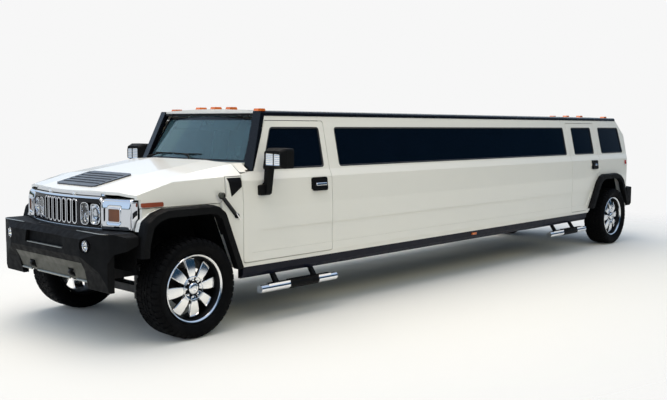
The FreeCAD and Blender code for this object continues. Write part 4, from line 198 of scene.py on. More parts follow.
@dataclass(frozen=True)
class Finish:
    """One finish: how the surface looks and which of the vehicle's finishes it is.

    Attributes:
        name: The material's name.
        slot: The named finish of the vehicle that it stands for; not used.
        colour: Base colour, linear.
        roughness: Middle roughness.
        metallic: 1 for bare metal and plating.
        coat: Clear lacquer over the colour.
        grain: Kind of fine relief.
        pitch: Size of the relief in metres.
        depth: Height of the relief in metres.
        drift: How much the colour wanders over the surface.
        soil: Darkening towards the ground, from road dust.
        clear: 1 for glass that light passes through.
        glow: Strength of the light it gives off.
        shine: Strength of the plain reflection, 0.5 as on most plastics.
        wear: How much the roughness wanders over the surface.
    """

    name: str
    slot: str
    colour: Colour
    roughness: float
    metallic: float = 0.0
    coat: float = 0.0
    grain: Grain = Grain.SMOOTH
    pitch: float = 0.002
    depth: float = 0.0002
    drift: float = 0.06
    soil: float = 0.0
    clear: float = 0.0
    glow: float = 0.0
    shine: float = 0.5
    wear: float = 0.2

    def material(self) -> bpy.types.Material:
        """The finish as a node material, made once.

        Returns:
            The material.
        """
        label = f"{self.name}_finish"
        found = bpy.data.materials.get(label)
        if found is not None:
            return found
        made = bpy.data.materials.new(label)
        made.use_nodes = True
        tree = made.node_tree
        place = tree.nodes.new("ShaderNodeTexCoord").outputs["Object"]
        shader = fed(tree, tree.nodes["Principled BSDF"], {
            "Metallic": self.metallic, "Coat Weight": self.coat, "Coat Roughness": 0.04,
            "Transmission Weight": self.clear, "IOR": 1.5, "Specular IOR Level": self.shine,
            "Base Color": self._colour(tree, place), "Roughness": self._roughness(tree, place),
            "Normal": self._relief(tree, place)})
        if self.glow:
            fed(tree, shader, {"Emission Color": (*self.colour, 1.0), "Emission Strength": self.glow})
        return made

    def _colour(self, tree: Tree, place: Socket) -> Socket:
        """The base colour with its drift and soil.

        Args:
            tree: The material's nodes.
            place: The position in the vehicle's frame.

        Returns:
            The colour.
        """
        cloud = added(tree, "TexNoise", {"Scale": 3.1, "Detail": 6.0, "Vector": place})
        ramp = added(tree, "ValToRGB", {"Fac": cloud.outputs["Fac"]})
        dark = [max(0.0, part * (1.0 - self.drift)) for part in self.colour]
        light = [min(1.0, part * (1.0 + self.drift * 0.5) + self.drift * 0.001) for part in self.colour]
        for stop, position, colour in zip(ramp.color_ramp.elements, NOISE_SPAN, (dark, light)):
            stop.position = position
            stop.color = (*colour, 1.0)
        clean = ramp.outputs["Color"]
        return self._soiled(tree, place, clean) if self.soil else clean

    def _roughness(self, tree: Tree, place: Socket) -> Socket:
        """The roughness with its wear.

        Args:
            tree: The material's nodes.
            place: The position in the vehicle's frame.

        Returns:
            The roughness.
        """
        wear = added(tree, "TexNoise", {"Scale": 17.0, "Detail": 5.0, "Vector": place})
        spread = (self.roughness * (1.0 - self.wear), min(1.0, self.roughness * (1.0 + self.wear)))
        return ranged(tree, wear.outputs["Fac"], NOISE_SPAN, spread)

    def _soiled(self, tree: Tree, place: Socket, colour: Socket) -> Socket:
        """Darkens a colour towards the ground in soft uneven patches.

        Args:
            tree: The material's nodes.
            place: The position in the vehicle's frame.
            colour: The clean colour.

        Returns:
            The soiled colour.
        """
        height = added(tree, "SeparateXYZ", {"Vector": place})
        fade = ranged(tree, height.outputs["Z"], (0.35, 1.25), (self.soil, 0.0))
        patch = added(tree, "TexNoise", {"Scale": 1.7, "Detail": 8.0, "Vector": place})
        share = product(tree, fade, patch.outputs["Fac"])
        blend = tree.nodes.new("ShaderNodeMixRGB")
        blend.blend_type = "MULTIPLY"
        road_dust = (0.55, 0.5, 0.42, 1.0)
        return fed(tree, blend, {"Color2": road_dust, "Fac": share, "Color1": colour}).outputs["Color"]

    def _relief(self, tree: Tree, place: Socket) -> Socket:
        """The surface's fine relief.

        Args:
            tree: The material's nodes.
            place: The position in the vehicle's frame.

        Returns:
            The surface's direction.
        """
        mapping = added(tree, "Mapping", {"Scale": self.grain.stretch, "Vector": place})
        celled = self.grain in (Grain.LEATHER, Grain.PEBBLED)
        pattern = tree.nodes.new("ShaderNodeTexVoronoi" if celled else "ShaderNodeTexNoise")
        if celled:
            pattern.feature = "DISTANCE_TO_EDGE" if self.grain is Grain.LEATHER else "F1"
        else:
            pattern.inputs["Detail"].default_value = 8.0 if self.grain is Grain.CAST else 3.0
        fed(tree, pattern, {"Scale": 1.0 / self.pitch, "Vector": mapping.outputs["Vector"]})
        height = pattern.outputs["Distance" if celled else "Fac"]
        return added(tree, "Bump", {"Strength": 0.6, "Distance": self.depth,
            "Height": height}).outputs["Normal"]


class Palette:
    """Every finish on the vehicle."""

    ROOF_AMBER = Finish("roof_amber_lens", "amber_lens", (0.62, 0.14, 0.02), 0.14, coat=0.4,
        grain=Grain.RIBBED, pitch=0.004, depth=0.0006, drift=0.25)
    VENT = Finish("grey_vent_moulding", "black_moulding", (0.05, 0.056, 0.066), 0.34, grain=Grain.PEBBLED,
        pitch=0.003, drift=0.2)
    PAINT = Finish("white_lacquer", "white_paint", (0.8, 0.785, 0.725), 0.3, coat=0.6,
        grain=Grain.ORANGE_PEEL, pitch=0.006, depth=0.00001, drift=0.008, soil=0.12, wear=0.05)
    MOULDING = Finish("grained_black_moulding", "black_moulding", (0.0052, 0.0053, 0.0056), 0.62,
        grain=Grain.PEBBLED, pitch=0.003, depth=0.0004, drift=0.25, soil=0.2, shine=0.1)
    GLOSS_BLACK = Finish("gloss_black_lacquer", "black_gloss", (0.003, 0.0033, 0.0052), 0.25, coat=0.12,
        grain=Grain.ORANGE_PEEL, pitch=0.006, depth=0.00003, shine=0.25)
    SILL_BLACK = Finish("blue_black_sill", "black_gloss", (0.0022, 0.0032, 0.0115), 0.4, coat=0.04,
        grain=Grain.ORANGE_PEEL, pitch=0.006, depth=0.00005, soil=0.2, shine=0.15)
    DARK_GLASS = Finish("privacy_glass", "dark_glass", (0.0018, 0.0045, 0.0105), 0.03, clear=0.2,
        grain=Grain.ORANGE_PEEL, pitch=0.2, drift=0.1, shine=0.32)
    SCREEN_GLASS = Finish("screen_glass", "clear_glass", (0.27, 0.5, 0.57), 0.02, clear=0.9,
        grain=Grain.ORANGE_PEEL, pitch=0.25, depth=0.0001, drift=0.02)
    CHROME = Finish("plated_chrome", "chrome", (0.86, 0.865, 0.88), 0.06, metallic=1.0,
        grain=Grain.ORANGE_PEEL, pitch=0.02, depth=0.00005, drift=0.03)
    WHEEL_CHROME = Finish("wheel_chrome", "chrome", (0.88, 0.88, 0.87), 0.15, metallic=1.0,
        grain=Grain.ORANGE_PEEL, pitch=0.02, depth=0.00005, drift=0.03)
    # Near-black that paints shade: laid in recesses, slots and openings and behind parts, where there is
    # only shade.
    WELL_BLACK = Finish("shadow_black", "black_gloss", (0.0022, 0.0022, 0.0028), 0.5, grain=Grain.CAST,
        pitch=0.008, drift=0.3, shine=0.15)
    SATIN = Finish("satin_metal", "bare_metal", (0.085, 0.087, 0.072), 0.46, metallic=0.6,
        grain=Grain.BRUSHED, pitch=0.0012, depth=0.0001, drift=0.12, soil=0.5)
    # Pale metal for thin strips along dark edges, which paint the highlights those edges catch.
    ALLOY = Finish("pale_alloy", "bare_metal", (0.42, 0.43, 0.4), 0.38, metallic=0.85, grain=Grain.BRUSHED,
        pitch=0.0012, depth=0.0001, drift=0.1, soil=0.2)
    BRIGHT = Finish("bright_reflector", "chrome", (0.93, 0.93, 0.94), 0.03, metallic=1.0,
        grain=Grain.ORANGE_PEEL, pitch=0.01, depth=0.0001, drift=0.01)
    LENS = Finish("clear_lens", "lamp_glass", (0.96, 0.97, 0.98), 0.02, clear=1.0, grain=Grain.RIBBED,
        pitch=0.006, depth=0.0006, drift=0.01)
    BULB = Finish("bulb_glass", "lamp_glass", (0.95, 0.93, 0.88), 0.1, glow=0.3, depth=0.0001)
    AMBER = Finish("amber_lens", "amber_lens", (0.19, 0.062, 0.022), 0.2, coat=0.2, grain=Grain.RIBBED,
        pitch=0.004, depth=0.0006, drift=0.25)
    MARKER = Finish("deep_amber_marker", "amber_lens", (0.32, 0.075, 0.038), 0.16, coat=0.6,
        grain=Grain.RIBBED, pitch=0.004, depth=0.0005, drift=0.25)
    RED = Finish("red_lens", "red_lens", (0.42, 0.012, 0.012), 0.08, coat=0.8, grain=Grain.RIBBED,
        pitch=0.005, depth=0.0005, drift=0.2)
    TYRE = Finish("tyre_rubber", "tyre_rubber", (0.0036, 0.0036, 0.004), 0.7, grain=Grain.CAST, pitch=0.004,
        depth=0.0003, drift=0.35, soil=0.3, shine=0.07)
    CHASSIS = Finish("chassis_black", "chassis_black", (0.02, 0.02, 0.021), 0.5, grain=Grain.CAST,
        pitch=0.01, depth=0.0005, drift=0.3, soil=0.6)
    IRON = Finish("cast_iron", "iron", (0.03, 0.029, 0.028), 0.7, metallic=0.4, grain=Grain.CAST,
        pitch=0.006, depth=0.0006, drift=0.35, soil=0.6)
    EXHAUST = Finish("exhaust_steel", "exhaust_steel", (0.3, 0.28, 0.25), 0.42, metallic=0.9,
        grain=Grain.BRUSHED, pitch=0.003, drift=0.3, soil=0.6)
    LINING = Finish("dark_lining", "cabin_lining", (0.035, 0.035, 0.037), 0.7, grain=Grain.PEBBLED,
        pitch=0.003, depth=0.0004, drift=0.2)
    CARPET = Finish("cabin_carpet", "cabin_lining", (0.03, 0.03, 0.034), 0.95, grain=Grain.PILE,
        pitch=0.004, depth=0.003, drift=0.3)
    LEATHER = Finish("pale_leather", "pale_leather", (0.52, 0.47, 0.4), 0.46, grain=Grain.LEATHER,
        pitch=0.006, depth=0.0006, drift=0.1)
    PIPING = Finish("dark_piping", "cabin_lining", (0.09, 0.08, 0.07), 0.5, grain=Grain.LEATHER,
        pitch=0.003, depth=0.0003, drift=0.1)
    CABINET = Finish("dark_cabinet", "cabinet", (0.05, 0.028, 0.018), 0.16, coat=0.8, grain=Grain.BRUSHED,
        pitch=0.02, drift=0.4)
    SEAL = Finish("rubber_seal", "black_moulding", (0.012, 0.012, 0.013), 0.55, grain=Grain.CAST,
        pitch=0.004, drift=0.2)


class Draft:
    """A mesh being drawn, in the vehicle's frame."""

    def __init__(self) -> None:
        """Starts an empty mesh."""
        self.mesh = bmesh.new()

    def ring(self, points: Iterable[Vector]) -> list[bmesh.types.BMVert]:
        """Adds a run of corners.

        Args:
            points: Where they are.

        Returns:
            The new corners in order.
        """
        return [self.mesh.verts.new(point) for point in points]

    def bridge(self, rings: Sequence[Sequence[bmesh.types.BMVert]], closed: bool = True) -> None:
        """Joins rings of as many corners each with quads.

        Args:
            rings: The rings in order.
            closed: Whether each ring runs round to its start.
        """
        for low, high in zip(rings, rings[1:]):
            count = len(low)
            for index in range(count if closed else count - 1):
                after = (index + 1) % count
                self.mesh.faces.new((low[index], low[after], high[after], high[index]))

    def loft(self, rings: Sequence[Sequence[bmesh.types.BMVert]]) -> Draft:
        """Joins rings with quads and closes the first and the last.

        Args:
            rings: The rings in order.

        Returns:
            This draft.
        """
        self.bridge(rings)
        for ring in (rings[0], rings[-1]):
            self.mesh.faces.new(ring)
        return self

    def turned(self, profile: Sequence[Flat], centre: Point, sides: int = 48, axis: str = "Y",
            closed: bool = False) -> Draft:
        """Turns a profile about an axis.

        Args:
            profile: Pairs of distance along the axis and radius.
            centre: Where the axis's zero lies.
            sides: Steps round the axis.
            axis: X or Y.
            closed: Whether the last profile corner joins the first.

        Returns:
            This draft.
        """
        lay = {"X": lambda a, c, s: Vector((a, c, s)), "Y": lambda a, c, s: Vector((s, a, c))}[axis]
        turns = [2.0 * math.pi * step / sides for step in range(sides)]
        rings = [self.ring(Vector(centre) + lay(along, reach * math.cos(turn), reach * math.sin(turn))
            for turn in turns) for along, reach in profile]
        self.bridge(rings + rings[:1] if closed else rings)
        if not closed:
            for end, (_, radius) in ((rings[0], profile[0]), (rings[-1], profile[-1])):
                if radius > TINY:
                    self.mesh.faces.new(end)
        return self

    def prism(self, outline: Sequence[Flat], plane: str, start: float, end: float) -> Draft:
        """Pulls an outline straight out of its plane.

        Args:
            outline: Corners in the plane.
            plane: XY, XZ or YZ.
            start: Where it starts on the third axis.
            end: Where it ends.

        Returns:
            This draft.
        """
        lay = {"XY": lambda a, b, c: Vector((a, b, c)), "XZ": lambda a, b, c: Vector((a, c, b)),
               "YZ": lambda a, b, c: Vector((c, a, b))}[plane]
        return self.loft([self.ring(lay(a, b, c) for a, b in outline) for c in (start, end)])

    def slab(self, low: Point, high: Point) -> Draft:
        """Adds a block between two opposite corners."""
        return self.prism(rectangle(low[0], high[0], low[1], high[1]), "XY", low[2], high[2])

    def tube(self, path: Sequence[Point], radius: float | Sequence[float], sides: int = 12,
            squash: float = 1.0) -> Draft:
        """Sweeps a round or flattened section along a path.

        Args:
            path: Points that it passes through.
            radius: One radius, or one for each point.
            sides: Steps round the section.
            squash: Height of the section as a share of its width.

        Returns:
            This draft.
        """
        points = [Vector(point) for point in path]
        radii = [radius] * len(points) if isinstance(radius, (int, float)) else list(radius)
        turns = [2.0 * math.pi * step / sides for step in range(sides)]
        side = None
        rings = []
        for index, point in enumerate(points):
            before, after = points[max(index - 1, 0)], points[min(index + 1, len(points) - 1)]
            along = (after - before).normalized()
            if side is None:
                steep = abs(along.z) >= 0.9
                side = along.cross(Vector((1, 0, 0)) if steep else Vector((0, 0, 1))).normalized()
            side = (side - along * side.dot(along)).normalized()
            up = side.cross(along)
            wide, tall = side * radii[index], up * radii[index] * squash
            rings.append(self.ring(point + wide * math.cos(turn) + tall * math.sin(turn) for turn in turns))
        return self.loft(rings)

    def around(self, centre: Point, count: int, start: float = 0.0) -> Draft:
        """Repeats what is drawn evenly round an axis along Y.

        Args:
            centre: A point on the axis.
            count: How many in all.
            start: Turn of the first one, in radians.

        Returns:
            This draft.
        """
        base = self.mesh.verts[:] + self.mesh.edges[:] + self.mesh.faces[:]
        turn = Matrix.Translation(centre) @ Matrix.Rotation(start, 4,
            "Y") @ Matrix.Translation(-Vector(centre))
        bmesh.ops.transform(self.mesh, matrix=turn, verts=self.mesh.verts)
        for index in range(1, count):
            copied = bmesh.ops.duplicate(self.mesh, geom=base)["geom"]
            verts = [part for part in copied if isinstance(part, bmesh.types.BMVert)]
            bmesh.ops.rotate(self.mesh, verts=verts, cent=Vector(centre),
                matrix=Matrix.Rotation(2.0 * math.pi * index / count, 3, "Y"))
        return self

    def piece(self, name: str, finish: Finish, body: str = "body", bevel: float = 0.0, rounds: int = 0,
            crease: float = 35.0, steps: int = 2) -> Piece:
        """Makes the drawn mesh a piece of the vehicle.

        Args:
            name: The piece's name.
            finish: Its finish.
            body: The body that it moves with.
            bevel: Width of the softened edges.
            rounds: Levels of subdivision.
            crease: Sharpest angle that is shaded smooth, in degrees.
            steps: Segments of a softened edge.

        Returns:
            The piece.
        """
        bmesh.ops.remove_doubles(self.mesh, verts=self.mesh.verts, dist=TINY)
        bmesh.ops.recalc_face_normals(self.mesh, faces=self.mesh.faces)
        data = bpy.data.meshes.new(name)
        self.mesh.to_mesh(data)
        self.mesh.free()
        made = bpy.data.objects.new(name, data)
        bpy.context.scene.collection.objects.link(made)
        if bevel:
            soft = made.modifiers.new("softened_edges", "BEVEL")
            soft.width = bevel
            soft.segments = steps
            soft.limit_method = "ANGLE"
            soft.angle_limit = math.radians(30.0)
            soft.harden_normals = False
        if rounds:
            rounded = made.modifiers.new("rounded_form", "SUBSURF")
            rounded.levels = rounds
            rounded.render_levels = rounds
        data.shade_smooth()
        data.set_sharp_from_angle(angle=math.radians(crease))
        data.materials.append(finish.material())
        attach(made, body)
        LOG.info("%s on %s", name, body)
        return made


@dataclass(frozen=True)
class Softbox:
    """One soft light: its place, aim, width and height, power in watts and colour.

    Attributes:
        mirrored: Whether it shows in polished surfaces.
    """

    name: str
    place: Point
    aim: Point
    size: Flat
    power: float
    colour: Colour
    mirrored: bool = False

    def build(self) -> None:
        """Adds the light to the scene."""
        data = bpy.data.lights.new(self.name, "AREA")
        data.shape = "RECTANGLE"
        data.size, data.size_y = self.size
        data.energy = self.power
        data.color = self.colour
        made = bpy.data.objects.new(self.name, data)
        made.visible_glossy = self.mirrored
        made.location = self.place
        made.rotation_euler = (Vector(self.aim) - Vector(self.place)).to_track_quat("-Z", "Y").to_euler()
        bpy.context.scene.collection.objects.link(made)


@dataclass
class Studio:
    """Camera, light, floor and surroundings.

    Attributes:
        drop: How far the picture is shifted down, as a share of its width.
        sky: Colours from straight down to straight up, by share of the way.
        trees: Where dark trees start and are full, by part of the view's direction.
    """

    camera_place: Point = (8.4967, 6.6861, 1.8415)
    heading: float = -2.3939
    tilt: float = -0.0801
    roll: float = 0.0052
    lens: float = 45.11
    sensor: float = 36.0
    sight: float = 400.0
    drop: float = -0.012
    floor_radius: float = 60.0
    floor_colour: Colour = (0.75, 0.74, 0.69)
    floor_oval: Point = (0.62, 1.0, 1.0)
    floor_fade: Flat = (2.4, 6.0)
    backdrop: Colour = (0.93, 0.93, 0.93)
    tree_colour: Colour = (0.01, 0.035, 0.07)
    sky: tuple[tuple[float, Colour], ...] = (
        (0.0, (0.5, 0.52, 0.53)), (0.495, (0.62, 0.65, 0.68)), (0.5, (0.04, 0.05, 0.03)),
        (0.53, (0.05, 0.065, 0.045)), (0.56, (0.55, 0.72, 0.95)), (0.72, (0.54, 0.69, 0.9)),
        (1.0, (0.42, 0.54, 0.78)),
    )
    trees: tuple[tuple[str, float, float], ...] = (
        ("Y", 0.15, 0.45), ("Z", 0.62, 0.34), ("Z", -0.06, 0.0), ("X", 0.75, 0.45))
    lights: tuple[Softbox, ...] = (Softbox("overhead", (2.5, -1.5, 11.0), (0.5, 0.0, 0.0), (16.0, 8.0),
        1430.0, (1.0, 0.87, 0.72), True), Softbox("near_side", (3.0, 12.0, 8.5), (0.0, 0.0, 1.0),
        (18.0, 5.0), 500.0, (1.0, 0.87, 0.46)), Softbox("far_side", (0.0, -14.0, 7.0), (0.0, 0.0, 1.0),
        (14.0, 6.0), 300.0, (1.0, 0.87, 0.46)), Softbox("nose", (15.0, -2.0, 6.0), (4.5, 0.0, 1.0),
        (8.0, 5.0), 170.0, (0.95, 0.97, 1.0)),)

    def camera(self) -> None:
        """Sets the camera at the photograph's viewpoint."""
        forward = Vector((math.cos(self.tilt) * math.cos(self.heading),
            math.cos(self.tilt) * math.sin(self.heading), math.sin(self.tilt)))
        right = forward.cross(Vector((0, 0, 1))).normalized()
        up = right.cross(forward)
        across = right * math.cos(self.roll) + up * math.sin(self.roll)
        above = up * math.cos(self.roll) - right * math.sin(self.roll)
        data = bpy.data.cameras.new("camera")
        data.lens = self.lens
        data.sensor_fit = "HORIZONTAL"
        data.sensor_width = self.sensor
        data.shift_y = self.drop
        data.clip_end = self.sight
        made = bpy.data.objects.new("camera", data)
        turn = Matrix((across, above, -forward)).transposed().to_4x4()
        made.matrix_world = Matrix.Translation(self.camera_place) @ turn
        bpy.context.scene.collection.objects.link(made)
        bpy.context.scene.camera = made

    def surroundings(self) -> None:
        """Gives the world a pale backdrop, with a softer sky and horizon for reflections and light."""
        world = bpy.data.worlds.new("studio")
        bpy.context.scene.world = world
        world.use_nodes = True
        bpy.context.scene.view_settings.view_transform = "Standard"
        tree = world.node_tree
        tree.nodes.clear()
        place = tree.nodes.new("ShaderNodeTexCoord").outputs["Generated"]
        parts = added(tree, "SeparateXYZ", {"Vector": place})
        ramp = added(tree, "ValToRGB", {"Fac": ranged(tree, parts.outputs["Z"], (-1.0, 1.0), (0.0, 1.0))})
        stops = ramp.color_ramp.elements
        for position, colour in self.sky:
            found = [stop for stop in stops if stop.position == position]
            stop = found[0] if found else stops.new(position)
            stop.color = (*colour, 1.0)
        wooded = self.grove(tree, parts, ramp.outputs["Color"])
        sky = added(tree, "Background", {"Color": wooded, "Strength": 1.0})
        paper = added(tree, "Background", {"Color": (*self.backdrop, 1.0), "Strength": 1.0})
        seen = tree.nodes.new("ShaderNodeLightPath").outputs["Is Camera Ray"]
        mix = added(tree, "MixShader", {"Fac": seen, 1: sky.outputs["Background"],
            2: paper.outputs["Background"]})
        added(tree, "OutputWorld", {"Surface": mix.outputs["Shader"]})

    def grove(self, tree: Tree, parts: Node, sky: Socket) -> Socket:
        """Stands dark trees to the vehicle's left, as its windows mirror them.

        Args:
            tree: The world's nodes.
            parts: The view direction's three parts.
            sky: The colour without the trees.

        Returns:
            The colour with them.
        """
        share = None
        for axis, start, full in self.trees:
            ends = (0.0, 1.0) if start < full else (1.0, 0.0)
            mask = ranged(tree, parts.outputs[axis], (min(start, full), max(start, full)), ends, True)
            share = mask if share is None else product(tree, share, mask)
        mixed = added(tree, "MixRGB", {"Color2": (*self.tree_colour, 1.0), "Fac": share, "Color1": sky})
        return mixed.outputs["Color"]

    def floor(self) -> None:
        """Lays a pale floor that fades out far away."""
        drawn = bmesh.new()
        bmesh.ops.create_circle(drawn, cap_ends=True, segments=96, radius=self.floor_radius)
        data = bpy.data.meshes.new("studio_floor")
        drawn.to_mesh(data)
        drawn.free()
        made = bpy.data.objects.new("studio_floor", data)
        bpy.context.scene.collection.objects.link(made)
        material = bpy.data.materials.new("pale_floor")
        material.use_nodes = True
        tree = material.node_tree
        place = tree.nodes.new("ShaderNodeTexCoord").outputs["Object"]
        oval = added(tree, "Mapping", {"Scale": self.floor_oval, "Vector": place})
        reach = tree.nodes.new("ShaderNodeVectorMath")
        reach.operation = "LENGTH"
        fed(tree, reach, {0: oval.outputs["Vector"]})
        fed(tree, tree.nodes["Principled BSDF"], {
            "Base Color": (*self.floor_colour, 1.0), "Roughness": 0.9, "Specular IOR Level": 0.1,
            "Alpha": ranged(tree, reach.outputs["Value"], self.floor_fade, (1.0, 0.0), True)})
        data.materials.append(material)

    def build(self) -> None:
        """Sets up the whole studio."""
        self.camera()
        self.surroundings()
        self.floor()
        for light in self.lights:
            light.build()
        LOG.info("studio ready")


@dataclass
class Coachwork:
    """The body panels' own finishes."""

    finishes: tuple[tuple[Finish, tuple[str, ...]], ...] = ((Palette.PAINT,
        (*both("body_side", "front_door", "rear_door"), "roof_panel", "front_wings", "rear_frame", "bonnet",
        "tailgate", "cowl_bulkhead")), (Palette.GLOSS_BLACK, ("pillars_and_gutters", "lamp_housing")),
        (Palette.SILL_BLACK, ("rockers",)), (Palette.MOULDING, (*both("front_door_fittings"),
        "front_bumper", "rear_bumper", "wheel_liners", "wheel_flares", "bonnet_latches", "cowl_vents")),
        (Palette.SCREEN_GLASS, ("windscreen",)), (Palette.DARK_GLASS,
        (*both("front_door_glass", "rear_door_glass"), "side_glass", "tailgate_glass")),
        (Palette.CHROME, ("grille_shell", "side_steps")), (Palette.WHEEL_CHROME,
        both("rim_front", "rim_rear")), (Palette.SATIN, ("skid_plate",)), (Palette.BRIGHT, ("headlamps",)),
        (Palette.ROOF_AMBER, ("amber_lamps",)), (Palette.VENT, ("bonnet_vent",)),
        (Palette.MARKER, ("side_markers",)), (Palette.RED, ("tail_lamps",)),
        (Palette.TYRE, both("tyre_front", "tyre_rear")), (Palette.CHASSIS,
        ("ladder_frame", "front_suspension")), (Palette.IRON, (*both("knuckle"), "engine_block",
        "rear_axle")), (Palette.EXHAUST, ("exhaust_and_tank",)), (Palette.CARPET, ("floor_pan",)),
        (Palette.LINING, ("dashboard",)), (Palette.CABINET, ("saloon_furniture",)),
        (Palette.LEATHER, ("front_seats", "saloon_bench")),)

    def dress(self, nodes: dict[str, Piece]) -> None:
        """Gives each panel its finish.

        Args:
            nodes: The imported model's objects by name.
        """
        for finish, names in self.finishes:
            for name in names:
                panel = nodes.get(name)
                if panel is None:
                    continue
                panel.data.materials.clear()
                panel.data.materials.append(finish.material())
        left = sorted(set(nodes) - {name for _, names in self.finishes for name in names})
        LOG.info("panels dressed; without a finish: %s", left)


@dataclass
class Bodywork:
    """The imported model's panels, and where their surfaces are."""

    nodes: dict[str, Piece]

    def touch(self, names: Iterable[str], start: Point, aim: Point) -> Vector | None:
        """Finds where a line first meets any of some panels.

        Args:
            names: The panels.
            start: Where the line starts.
            aim: Which way it runs.

        Returns:
            The nearest point, or nothing where it misses.
        """
        found = None
        for name in names:
            hit, place, _, _ = self.nodes[name].ray_cast(Vector(start), Vector(aim).normalized())
            if hit and (found is None or (place - Vector(start)).length < (found - Vector(start)).length):
                found = place
        return found


@dataclass
class SideWall:
    """The slab side of the vehicle, as heights and distances from the middle."""

    skin: float = 0.96
    flat_top: float = 1.25
    shoulder: Flat = (0.946, 1.33)
    belt: Flat = (0.912, 1.402)
    cant: Flat = (0.797, 1.925)

    def out(self, height: float) -> float:
        """The wall's distance from the middle at a height."""
        if height <= self.flat_top:
            return self.skin
        marks = [(self.skin, self.flat_top), self.shoulder, self.belt, self.cant]
        for low, high in zip(marks, marks[1:]):
            if height <= high[1]:
                share = (height - low[1]) / (high[1] - low[1])
                return low[0] + (high[0] - low[0]) * share
        return self.cant[0]

    def point(self, along: float, height: float, side: Side, proud: float = 0.0) -> Point:
        """A point on the wall, or just off it.

        Args:
            along: X.
            height: Z.
            side: Which wall.
            proud: How far it stands off the wall.

        Returns:
            The point.
        """
        return (along, (self.out(height) + proud) * side.value, height)


def rounded(corners: Sequence[Flat], radius: float, steps: int = 5) -> list[Flat]:
    """Rounds the corners of a closed outline.

    Args:
        corners: The sharp corners.
        radius: How far from each corner the bend starts.
        steps: Points in each bend.

    Returns:
        The rounded outline.
    """
    outline = []
    count = len(corners)
    for index in range(count):
        corner = Vector(corners[index])
        before = (Vector(corners[index - 1]) - corner).normalized() * radius
        after = (Vector(corners[(index + 1) % count]) - corner).normalized() * radius
        for step in range(steps + 1):
            share = step / steps
            point = corner + before * (1 - share) ** 2 + after * share ** 2
            outline.append((point.x, point.y))
    return outline


@dataclass
class Tyre:
    """One road tyre with grooves and shoulder blocks; lengths from its middle plane and axle.

    Attributes:
        track: Distance between the two tyres' middle planes.
        groove: Depth of the tread's grooves.
        step: Depth of the step outside the shoulders.
        pitches: Blocks round the tyre.
        wall: The sidewall from the bead outwards, as distance along the axle and radius.
        shoulder: The rounded edge of the tread.
        rows: The tread's rows: start, end, share of a groove across them, slant.
        block: One pitch of tread: share of the pitch, and 1 on a block or 0 in a groove.
    """

    side: Side
    end: End
    track: float = 1.763
    radius: float = 0.435
    groove: float = 0.009
    step: float = 0.004
    pitches: int = 46
    wall: tuple[Flat, ...] = (
        (0.111, 0.2995), (0.1235, 0.301), (0.1285, 0.306), (0.1275, 0.312), (0.138, 0.322), (0.14, 0.3235),
        (0.1405, 0.327), (0.148, 0.34), (0.153, 0.352), (0.156, 0.364), (0.1572, 0.376), (0.1572, 0.3765),
        (0.156, 0.384), (0.1525, 0.3845), (0.1522, 0.388),
    )
    shoulder: tuple[Flat, ...] = ((0.118, 0.432), (0.133, 0.428), (0.146, 0.417), (0.153, 0.402),
        (0.1545, 0.392))
    rows: tuple[tuple[float, float, float, float], ...] = (
        (-0.154, -0.1, 1.0, 0.25), (-0.092, -0.042, 0.7, -0.2), (-0.034, -0.004, 0.35, 0.3),
        (0.004, 0.034, 0.35, -0.3), (0.042, 0.092, 0.7, 0.2), (0.1, 0.154, 1.0, -0.25),
    )
    block: tuple[Flat, ...] = ((0.0, 1.0), (0.4, 1.0), (0.74, 1.0), (0.77, 0.0), (0.97, 0.0))

    @property
    def body(self) -> str:
        """The wheel that it turns with."""
        return f"wheel_{self.end.word}_{self.side.word}"

    @property
    def centre(self) -> Point:
        """Where the tyre's middle plane meets its axle."""
        return (self.end.value, self.track / 2 * self.side.value, self.radius)

    def profile(self) -> list[tuple[float, float, float, float]]:
        """Corners from bead to bead: along the axle, radius, share of a block there, slant."""
        corners = [(-along, reach, 0.0, 0.0) for along, reach in self.wall]
        crown = self.radius - 0.0005
        edge = self.rows[-1][1]
        for start, stop, share, slant in self.rows:
            if start == -edge:
                marks = [(-along, reach) for along, reach in reversed(self.shoulder)] + [(stop,
                    crown - 0.0008)]
            elif stop == edge:
                marks = [(start, crown - 0.0008), *self.shoulder]
            else:
                marks = [(start, crown), (stop, crown)]
            drops = [self.step if abs(end) == edge else self.groove for end in (start, stop)]
            corners.append((marks[0][0], marks[0][1] - drops[0], 0.0, slant))
            corners.extend((along, reach, share, slant) for along, reach in marks)
            corners.append((marks[-1][0], marks[-1][1] - drops[1], 0.0, slant))
        corners.extend((along, reach, 0.0, 0.0) for along, reach in reversed(self.wall))
        return corners

    def build(self) -> None:
        """Builds the tyre with its tread."""
        draft = Draft()
        x, y, z = self.centre
        rings = []
        pitch = 2.0 * math.pi / self.pitches
        for along, reach, block, slant in self.profile():
            ring = []
            for index in range(self.pitches):
                for share, raised in self.block:
                    turn = pitch * (index + share + slant)
                    radius = reach - self.groove * block * (1.0 - raised)
                    ring.append(Vector((x + radius * math.cos(turn), y + along * self.side.value,
                        z + radius * math.sin(turn))))
            rings.append(draft.ring(ring))
        draft.bridge(rings)
        made = draft.piece(f"road_tyre_{self.end.word}_{self.side.word}", Palette.TYRE, self.body,
            crease=28.0)
        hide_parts(f"tyre_{self.end.word}_{self.side.word}")


